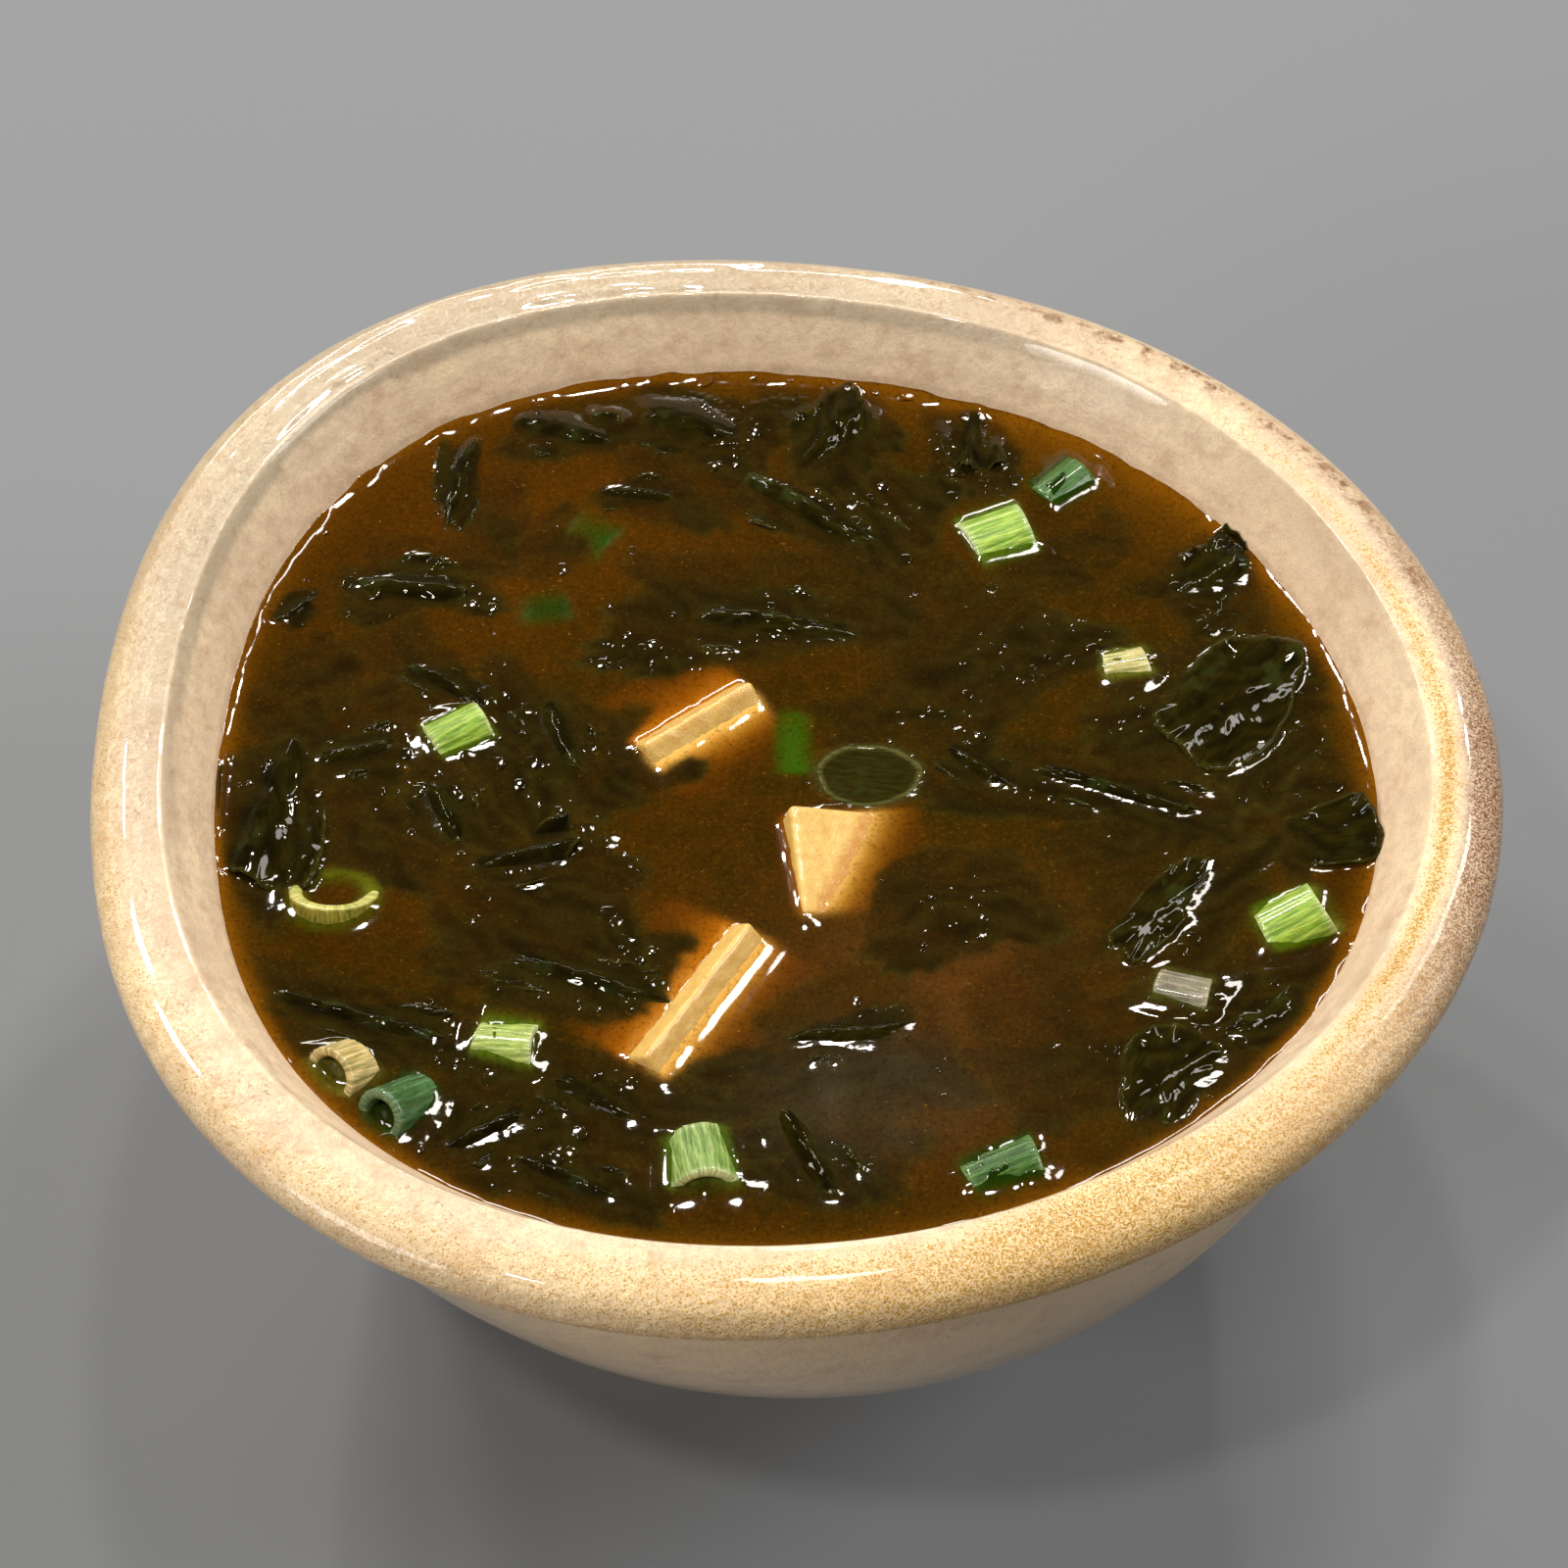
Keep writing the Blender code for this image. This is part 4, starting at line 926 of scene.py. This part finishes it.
def makeTofuMaterial():
    look = tofuLook
    material, sheet, shader = newMaterial("wetTofu", Roughness=0.34, IOR=1.38, Coat_Weight=0.5,
                                          Coat_Roughness=0.12, Subsurface_Weight=0.25, Subsurface_Scale=0.002)
    shader.inputs["Subsurface Radius"].default_value = (1.0, 0.6, 0.3)
    at = sheet.place()
    mottle = sheet.noise(at, 700.0, 4.0, 0.65)
    colour = sheet.mix(sheet.ramp(mottle, 0.42, 0.74, (0.0, 0.5)), look["cream"], look["mottleAndPitShade"])
    soak = sheet.field("soak").outputs["Fac"]
    colour = sheet.mix(soak, colour, look["soaked"])
    # painted shade: the pits are coloured darker in their hollows
    pits = placeGroup(sheet, fleckGroup, Scale=900.0, Amount=0.26, Softness=0.05)
    colour = sheet.mix(sheet.times(pits.outputs["Mask"], 0.6), colour, look["mottleAndPitShade"])
    sheet.finish(shader, colour, sheet.minus(mottle, pits.outputs["Height"]), 0.7, 0.25 * mm)
    return material


def makeTofu(under):
    look = tofuLook
    for number, (node, row) in enumerate(tofuRows.items()):
        points, faces, normals = tofuMesh(node, row, 60 + number)
        # painted light: faces turned towards the near side, and the tops, take the lighter colour
        near = smoothStep(0.15, 0.5, normals @ np.array([0.25, -0.95, 0.0])) * look["nearLitShare"][number]
        near = np.maximum(near, smoothStep(0.75, 0.9, normals[:, 2]))
        under.append((points, faces, blendTo(look["glow"], look["nearLitGlow"], near) * look["lit"][number],
                      blendTo(tofuFade, tofuNearFade, near) * look["fades"][number]))
        piece = meshPiece("die_" + node, points, faces, wetTofu)
        above = points[:, 2] - brothLevel
        measure(piece, "soak", (1.0 - smoothStep(-0.1 * mm, 0.3 * mm, above)) * 0.7)
        dress(piece, node)


# how fast each channel is lost in the broth, per mm
leafFade = (0.56, 0.50, 0.40)
onionFade = (1.10, 0.80, 1.40)
tofuFade = (0.46, 0.58, 0.95)
tofuNearFade = (0.74, 1.02, 1.90)
# climb is how high the broth is drawn up, reach how far out; a spot is its middle and half widths
brothLook = dict(
    count=288, sink=0.3 * mm, wallClimb=1.0 * mm, wallReach=1.5 * mm, pieceClimb=0.50 * mm,
    pieceReach=1.6 * mm, leafClimb=0.20 * mm, leafReach=1.0 * mm, blurDepth=1.4 * mm,
    deep=tint(47, 31, 1), olive=tint(43, 31, 1), red=tint(74, 40, 1), amber=tint(132, 80, 6),
    amberWidth=1.1 * mm, hazySheen=tint(78, 47, 18), greySheen=tint(74, 66, 50), speck=tint(140, 92, 30),
    darkGrain=tint(26, 14, 1), paleGrain=tint(120, 76, 18),
    hazySheenSpot=(12 * mm, -24 * mm, 16 * mm, 11 * mm), redSpot=(-30 * mm, 34 * mm, 22 * mm, 16 * mm),
    greySheenSpot=(6 * mm, -37 * mm, 10 * mm, 6 * mm), amberSide=(48.0, 30.0))
farAway = 1.0  # the depth or distance given where there is no piece
# a look down starts this far above the broth and goes this far, and sees pieces less deep than this
lookAbove, lookLength, seenDepth = 20 * mm, 35 * mm, 20 * mm


# a square grid bent onto a disk: unit coordinates, row by row
def diskGrid(count):
    a = np.linspace(-1.0, 1.0, count)
    x, y = np.meshgrid(a, a)
    reach = np.maximum(np.abs(x), np.abs(y))
    wide = np.abs(x) >= np.abs(y)
    safeX, safeY = np.where(x == 0, 1.0, x), np.where(y == 0, 1.0, y)
    turn = np.where(wide, math.pi / 4 * y / safeX + np.where(x < 0, math.pi, 0.0),
                    math.pi / 2 - math.pi / 4 * x / safeY + np.where(y < 0, math.pi, 0.0))
    return (reach * np.cos(turn)).ravel(), (reach * np.sin(turn)).ravel()


# blur values held row by row on the square grid
def soften(values, passes):
    count = brothLook["count"]
    grid = values.reshape(count, count, -1)
    for i in range(passes):
        wide = np.pad(grid, ((1, 1), (1, 1), (0, 0)), mode="edge")
        grid = (wide[:-2, 1:-1] + wide[2:, 1:-1] + wide[1:-1, :-2] + wide[1:-1, 2:] + 2 * wide[1:-1, 1:-1]) / 6
    return grid.reshape(values.shape)


# let the highest values on the square grid reach their neighbours
def spreadOut(values, passes):
    count = brothLook["count"]
    grid = values.reshape(count, count)
    for i in range(passes):
        wide = np.pad(grid, 1, mode="edge")
        grid = np.maximum.reduce([grid, wide[:-2, 1:-1], wide[2:, 1:-1], wide[1:-1, :-2], wide[1:-1, 2:]])
    return soften(grid.reshape(-1, 1), 6)[:, 0]


# for each place on the surface: how deep the first thing below lies, its colour and its fade
def lookDown(under, x, y, level):
    points, faces, colours, fades = [], [], [], []
    first = 0
    for piecePoints, pieceFaces, pieceColours, pieceFade in under:
        points.append(piecePoints)
        colours.append(pieceColours)
        fades.append(np.broadcast_to(pieceFade, (len(piecePoints), 3)))
        faces.extend([tuple(i + first for i in f) for f in pieceFaces])
        first += len(piecePoints)
    points, colours, fades = np.vstack(points), np.vstack(colours), np.vstack(fades)
    tree = BVHTree.FromPolygons([tuple(p) for p in points], faces)
    firstCorner = np.array([f[0] for f in faces])
    count = len(x)
    depth = np.full(count, farAway)
    colour = np.zeros((count, 3))
    fade = np.ones((count, 3))
    down = Vector((0.0, 0.0, -1.0))
    for i in range(count):
        start = Vector((x[i], y[i], level + lookAbove))
        hit, normal, face, distance = tree.ray_cast(start, down, lookLength)
        if face is not None:
            depth[i] = distance - lookAbove
            corner = firstCorner[face]
            colour[i] = colours[corner]
            fade[i] = fades[corner]
    return depth, colour, fade


# where the pieces cut the surface: points along each cut, whether a leaf makes it, and how steep it is
# (1 steep, 0 nearly flat; a leaf always counts as steep)
def waterLine(under, still, look):
    found, kinds, steep = [], [], []
    for points, faces, colours, fade in under:
        isLeaf = fade is leafFade
        level = still + (look["leafClimb"] if isLeaf else look["pieceClimb"])
        for corners in (3, 4):
            picked = np.array([f for f in faces if len(f) == corners])
            if not len(picked):
                continue
            one, two, three = (points[picked[:, i]] for i in range(3))
            across = np.cross(two - one, three - one)
            flatness = np.abs(across[:, 2]) / np.maximum(np.linalg.norm(across, axis=1), 1e-15)
            for i in range(corners):
                a, b = points[picked[:, i]], points[picked[:, (i + 1) % corners]]
                crosses = (a[:, 2] - level) * (b[:, 2] - level) < 0
                a, b = a[crosses], b[crosses]
                share = ((level - a[:, 2]) / (b[:, 2] - a[:, 2]))[:, None]
                found.append(a + (b - a) * share)
                kinds.append(np.full(len(a), isLeaf))
                steep.append(np.maximum(1.0 - smoothStep(0.86, 0.95, flatness[crosses]), float(isLeaf)))
    return np.vstack(found), np.concatenate(kinds), np.concatenate(steep)


def makeBrothMaterial():
    material, sheet, shader = newMaterial("misoBroth", Roughness=0.05, IOR=1.34, Coat_Weight=0.0)
    at = sheet.place()
    colour = sheet.field("brothColour").outputs["Color"]
    grain = sheet.noise(at, 2600.0, 2.0, 0.7)
    cloudy = sheet.noise(at, 420.0, 4.0, 0.62)
    clear = sheet.field("openBroth").outputs["Fac"]
    colour = sheet.mix(sheet.times(clear, sheet.ramp(cloudy, 0.40, 0.68, (0.0, 0.30))), colour,
                       brothLook["red"])
    specks = placeGroup(sheet, fleckGroup, Scale=2100.0, Amount=0.30, Softness=0.05)
    colour = sheet.mix(sheet.times(specks.outputs["Mask"], sheet.ramp(clear, 0.0, 1.0, (0.15, 0.5))),
                       colour, brothLook["speck"])
    colour = sheet.mix(sheet.ramp(grain, 0.30, 0.50, (0.45, 0.0)), colour, brothLook["darkGrain"])
    pale = sheet.times(sheet.ramp(grain, 0.54, 0.76, (0.0, 0.22)), sheet.ramp(clear, 0.0, 1.0, (0.25, 1.0)))
    colour = sheet.mix(pale, colour, brothLook["paleGrain"])
    film = sheet.field("leafFilm").outputs["Fac"]
    lines = sheet.noise(at, 420.0, 2.0, 0.5, stretch=(1.0, 1.8, 1.0))
    sheen = sheet.noise(at, 90.0, 2.0, 0.5)
    height = sheet.plus(sheet.times(lines, sheet.times(film, 0.5)),
                        sheet.times(sheen, 0.6))
    sheet.finish(shader, colour, height, 0.16, 0.4 * mm)
    return material


# smallest and largest are the radius of the curve in mm, spread is how far it runs down in degrees,
# and leans are slopes half-way between the camera and a lamp, so that a bead glints from there
beadLook = dict(count=520, smallest=2.0, largest=11.0, spread=4.6, shoulder=0.07, around=12, rings=3,
                leans=((0.13, -0.14), (-0.21, -0.05), (-0.24, -0.11)), loose=0.035, seed=4,
                strewn=0.2, sinks=0.02, dimmed=0.9)


# small beads of broth that hang along the leaves, each a shallow lens that leans a little, and glint
def makeBeads(x, y, z, colours, likely):
    look = beadLook
    chance = np.random.default_rng(look["seed"])
    picked = chance.choice(len(x), size=look["count"], replace=False, p=likely / likely.sum())
    around, rings = look["around"], look["rings"]
    turn = np.arange(around) * math.tau / around
    wide = math.radians(look["spread"])
    points, faces, painted = [], [], []
    for i in picked:
        size = look["smallest"] + (look["largest"] - look["smallest"]) * chance.random() ** 4
        lean = np.array(look["leans"][chance.integers(len(look["leans"]))])
        lean = lean + chance.normal(0.0, look["loose"], 2)
        stretch = chance.uniform(0.8, 1.3)
        rows = [(size * math.sin(wide * ring / rings), size * (math.cos(wide * ring / rings) - 1.0))
                for ring in range(1, rings + 1)]
        rows.append((rows[-1][0] + look["shoulder"], rows[-1][1] - 0.5 * look["shoulder"]))
        shape = [[0.0, 0.0, 0.0]]
        for out, drop in rows:
            shape += [[out * math.cos(t) * stretch, out * math.sin(t), drop] for t in turn]
        shape = np.array(shape)
        shape[:, 2] -= shape[:, 0] * lean[0] + shape[:, 1] * lean[1]
        shape[:, 2] -= shape[-around:, 2].mean() + look["sinks"]
        start = sum(len(p) for p in points)
        shift = chance.uniform(-look["strewn"], look["strewn"], 2) * mm
        middle = np.array([x[i], y[i], z[i]]) + np.append(shift, 0.0)
        points.append(shape * mm + middle)
        painted.append(np.tile(colours[i] * look["dimmed"], (len(shape), 1)))
        faces += [(start, start + 1 + j, start + 1 + (j + 1) % around) for j in range(around)]
        for ring in range(rings):
            a = start + 1 + ring * around
            faces += [(a + j, a + around + j, a + around + (j + 1) % around, a + (j + 1) % around)
                      for j in range(around)]
        faces.append(tuple(start + 1 + rings * around + j for j in reversed(range(around))))
    piece = meshPiece("brothBeads", np.vstack(points), faces, misoBroth)
    painted = np.vstack(painted)
    paint(piece, "brothColour", painted)
    measure(piece, "openBroth", np.zeros(len(painted)))
    measure(piece, "leafFilm", np.zeros(len(painted)))
    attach(piece, "root")


def makeBroth(under):
    look = brothLook
    ux, uy = diskGrid(look["count"])
    share, bearing = np.hypot(ux, uy), np.arctan2(uy, ux)
    level = brothLevel - look["sink"]
    edge = wallAt(bearing, brothLevel + look["wallClimb"] - look["sink"]) + 0.25 * mm
    x, y = share * edge * np.cos(bearing), share * edge * np.sin(bearing)
    fromWall = (1.0 - share) * edge
    centred = float(lobeShare(bowlShape["brothRadius"], brothLevel))
    x, y = x - rimShift[0] * centred, y - rimShift[1] * centred
    depth, colour, fade = lookDown(under, x, y, level)
    covered = depth < -0.02 * mm
    overLeaf = fade[:, 0] == leafFade[0]
    # the surface climbs the wall and everything that stands out of it
    uneven = (0.12 + 0.16 * smoothStep(10 * mm, 40 * mm, y)) * np.exp(-fromWall / (2 * mm))
    uneven = 1.0 + uneven * billow(bearing * 54 * mm, fromWall * 0, 2.4 * mm, 2, 71)
    z = level + look["wallClimb"] * np.exp(-fromWall / look["wallReach"]) * uneven
    line, leafy, steep = waterLine(under, level, look)
    tree = KDTree(len(line))
    for i, spot in enumerate(line):
        tree.insert((spot[0], spot[1], 0.0), i)
    tree.balance()
    near = np.full(len(x), farAway)
    byLeaf, pull = np.zeros(len(x)), np.ones(len(x))
    for i in range(len(x)):
        spot, index, distance = tree.find((x[i], y[i], 0.0))
        if distance < 6 * mm:
            near[i] = distance
            byLeaf[i], pull[i] = leafy[index], steep[index]
    reach = np.where(byLeaf > 0, look["leafReach"], look["pieceReach"])
    rise = np.where(byLeaf > 0, look["leafClimb"], look["pieceClimb"] * pull)
    # low pieces draw it up less
    stands = spreadOut(np.where(covered & ~overLeaf, -depth, 0.0), 10)
    rise = np.where(byLeaf > 0, rise, np.minimum(rise, 0.5 * stands))
    # one hollow slope up to the cut, and on inside the piece where it is out of sight
    within = depth < -rise
    inside = np.minimum(near / reach, np.where(byLeaf > 0, 0.3, 0.9))
    climb = rise * np.exp(np.where(within, inside, -near / reach))
    z = z + soften(climb[:, None], 2)[:, 0]
    ripple = billow(x, y, 9 * mm, 3, 77)
    z = z + 0.04 * mm * ripple * smoothStep(0.0, 3 * mm, fromWall)
    depth = np.maximum(depth + (z - level) * 0.5, 0.0)
    # colour of open broth
    drift = billow(x, y, 26 * mm, 4, 5)
    warm = billow(x, y, 14 * mm, 3, 9)
    clear = blendTo(look["deep"], look["olive"], smoothStep(-0.1, 0.5, drift))
    clear = blendTo(clear, look["red"], smoothStep(-0.1, 0.6, warm) * 0.28)
    # painted reflection: a hazy reddish sheen towards the near side
    clear = blendTo(clear, look["hazySheen"], softSpot(x, y, look["hazySheenSpot"]) * 0.7)
    clear = blendTo(clear, look["red"], softSpot(x, y, look["redSpot"]) * 0.7)
    width = look["amberWidth"] * (1.0 + 1.5 * bell(np.degrees(bearing), *look["amberSide"]) + 0.3 * ripple)
    clear = blendTo(clear, look["amber"], np.exp(-fromWall / width) * 0.95)
    # what lies below is seen through it, and each channel fades with the depth
    seen = depth < seenDepth
    lasts = np.exp(-fade * (depth / mm)[:, None])
    painted = np.where(seen[:, None], clear * (1.0 - lasts) + colour * lasts, clear)
    painted = soften(painted, 1)
    # what lies deeper is seen less sharply
    blurred = soften(painted, 4)
    painted = blurred + (painted - blurred) * np.exp(-depth / look["blurDepth"])[:, None]
    rimGlow = np.exp(-fromWall / (0.5 * mm))
    painted = blendTo(painted, look["amber"], rimGlow * 0.5)
    # painted reflection: a grey sheen over the broth and the leaves near the front
    paintedSheen = softSpot(x, y, look["greySheenSpot"]) * (0.30 + 0.22 * billow(x, y, 3 * mm, 3, 61))
    painted = blendTo(painted, look["greySheen"], paintedSheen)
    points = np.stack([x, y, z], -1)
    count = look["count"]
    faces = gridFaces(count, count)
    # a skirt down the wall to the floor closes the body of broth
    ring = list(range(count)) + [i * count + count - 1 for i in range(1, count)]
    ring += [(count - 1) * count + j for j in range(count - 2, -1, -1)]
    ring += [i * count for i in range(count - 2, 0, -1)]
    skirt = []
    turn = bearing[ring]
    for height in (0.86, 0.66, 0.42, 0.2):
        low = np.full(len(turn), bowlShape["base"] + (brothLevel - bowlShape["base"]) * height)
        inward = innerRadius(low) - 0.3 * mm
        skirtX, skirtY = outOfRound(inward * np.cos(turn), inward * np.sin(turn), low)
        skirt.append(np.stack([skirtX, skirtY, low], -1))
    first = len(points)
    around = len(ring)
    points = np.vstack([points] + skirt + [[[0.0, 0.0, bowlShape["base"] + 0.3 * mm]]])
    rows = [np.array(ring)] + [first + i * around + np.arange(around) for i in range(len(skirt))]
    for upper, lower in zip(rows[:-1], rows[1:]):
        for i in range(around):
            k = (i + 1) % around
            faces.append((int(upper[k]), int(upper[i]), int(lower[i]), int(lower[k])))
    last = len(points) - 1
    faces += [(int(rows[-1][(i + 1) % around]), int(rows[-1][i]), last) for i in range(around)]
    piece = meshPiece("brothBody", points, faces, misoBroth)
    extra = len(points) - len(painted)
    paint(piece, "brothColour", np.vstack([painted, np.tile(look["deep"], (extra, 1))]))
    leafFilm = bell(depth, 0.0, 0.55 * mm) * seen * overLeaf
    measure(piece, "leafFilm", np.concatenate([leafFilm, np.zeros(extra)]))
    openShare = 1.0 - np.where(seen, np.exp(-depth / (1.2 * mm)), 0.0)
    measure(piece, "openBroth", np.concatenate([openShare, np.ones(extra)]))
    dress(piece, "soup")
    # beads gather where a leaf is just under the surface or just clear of it
    justUnder = bell(depth, 0.15 * mm, 0.35 * mm) * overLeaf * (~covered)
    beside = np.exp(-near / (0.6 * mm)) * (~covered) * byLeaf
    patchy = smoothStep(-0.1, 0.35, billow(x, y, 7 * mm, 2, 51))
    atFarWall = (y > 30 * mm) * (np.abs(x + 9 * mm) < 24 * mm)
    atWall = 0.6 * bell(fromWall, 1.0 * mm, 0.5 * mm) * atFarWall
    likely = (justUnder * 0.5 + beside) * patchy + 0.004 + atWall
    likely = likely * (fromWall > 0.7 * mm) * (overLeaf | (depth > seenDepth))
    makeBeads(x, y, z, painted, likely)


stageLook = dict(floor=tint(114, 117, 121), drift=(0.3, 0.3, 0.3), floorSize=6.0, world=(0.84, 0.82, 0.80),
                 worldStrength=0.045, aim=(0.0, 0.0, 0.05))
camera = dict(place=(-1.08 * mm, -223.24 * mm, 316.38 * mm), down=50.0, lens=84.9)
paleWhite, warmWhite = (1.0, 0.96, 0.90), (1.0, 0.95, 0.88)
# name, place in metres, size, power, colour; all are aimed at the broth, and the small ones glint in it
lampRows = (
    ("keyLight", (-0.54, 0.38, 0.90), 0.12, 2.1, paleWhite),
    ("keyLightBack", (-0.42, 0.54, 0.86), 0.08, 1.8, paleWhite),
    ("fillLight", (0.80, 0.02, 0.66), 0.50, 5.2, (1.0, 0.98, 0.96)),
    ("frontLight", (-0.76, -0.58, 0.42), 0.44, 5.8, (1.0, 0.97, 0.93)),
    ("rimStrip", (0.30, 0.46, 0.76), (0.05, 0.16), 1.0, warmWhite),
    ("lipLamp", (0.02, 0.33, 0.90), 0.07, 1.6, warmWhite),
    ("crescentLight", (0.19, 0.36, 0.77), 0.10, 1.2, warmWhite),
    ("topLamp", (-0.28, -0.30, 0.86), 0.06, 1.8, paleWhite),
    ("backStrip", (-0.16, 0.86, 0.46), (0.56, 0.05), 2.6, warmWhite),
    ("backLampLeft", (-0.33, 0.60, 0.78), 0.045, 2.0, warmWhite),
    ("backLampRight", (0.34, 0.62, 0.74), 0.045, 1.2, warmWhite))


def makeStage():
    bpy.ops.mesh.primitive_plane_add(size=stageLook["floorSize"], location=(0.0, 0.0, -0.2 * mm))
    floor = bpy.context.object
    floor.name = "floor"
    material, sheet, shader = newMaterial("paleFloor", Roughness=0.75)
    uneven = sheet.ramp(sheet.noise(sheet.place(), 2.5, 2.0, 0.5), 0.3, 0.7, (0.0, 0.06))
    colour = sheet.mix(uneven, stageLook["floor"], stageLook["drift"])
    sheet.tree.links.new(colour, shader.inputs["Base Color"])
    floor.data.materials.append(material)
    world = bpy.data.worlds.new("studio")
    bpy.context.scene.world = world
    world.use_nodes = True
    background = world.node_tree.nodes["Background"]
    background.inputs["Color"].default_value = (*stageLook["world"], 1.0)
    background.inputs["Strength"].default_value = stageLook["worldStrength"]
    for name, place, size, power, colour in lampRows:
        lamp = bpy.data.lights.new(name, "AREA")
        if isinstance(size, tuple):
            lamp.shape = "RECTANGLE"
            lamp.size, lamp.size_y = size
        else:
            lamp.shape = "DISK"
            lamp.size = size
        lamp.energy = power
        lamp.color = colour
        holder = bpy.data.objects.new(name, lamp)
        holder.location = place
        aim = Vector(stageLook["aim"]) - Vector(place)
        holder.rotation_euler = aim.to_track_quat("-Z", "Y").to_euler()
        bpy.context.scene.collection.objects.link(holder)
    view = bpy.data.cameras.new("camera")
    view.sensor_width = 36.0
    view.lens = camera["lens"]
    view.clip_start = 0.01
    holder = bpy.data.objects.new("camera", view)
    holder.location = camera["place"]
    holder.rotation_euler = (math.radians(90.0 - camera["down"]), 0.0, 0.0)
    bpy.context.scene.collection.objects.link(holder)
    bpy.context.scene.camera = holder
    bpy.context.scene.view_settings.view_transform = "Standard"


glaze = makeGlaze()
wetWakame = makeLeafMaterial()
wetOnion = makeOnionMaterial()
wetTofu = makeTofuMaterial()
misoBroth = makeBrothMaterial()
print("materials made")
makeBowl()
print("bowl glazed")
underBroth = []
makeLeaves(underBroth)
sunkSheets(underBroth)
print("wakame laid:", len(leafRows), "leaves at the surface,", len(sunkRows), "below it")
makeOnions(underBroth)
sunkSlice(underBroth)
makeTofu(underBroth)
print("spring onion and tofu cut")
makeBroth(underBroth)
print("broth poured")
makeStage()
print("stage set")
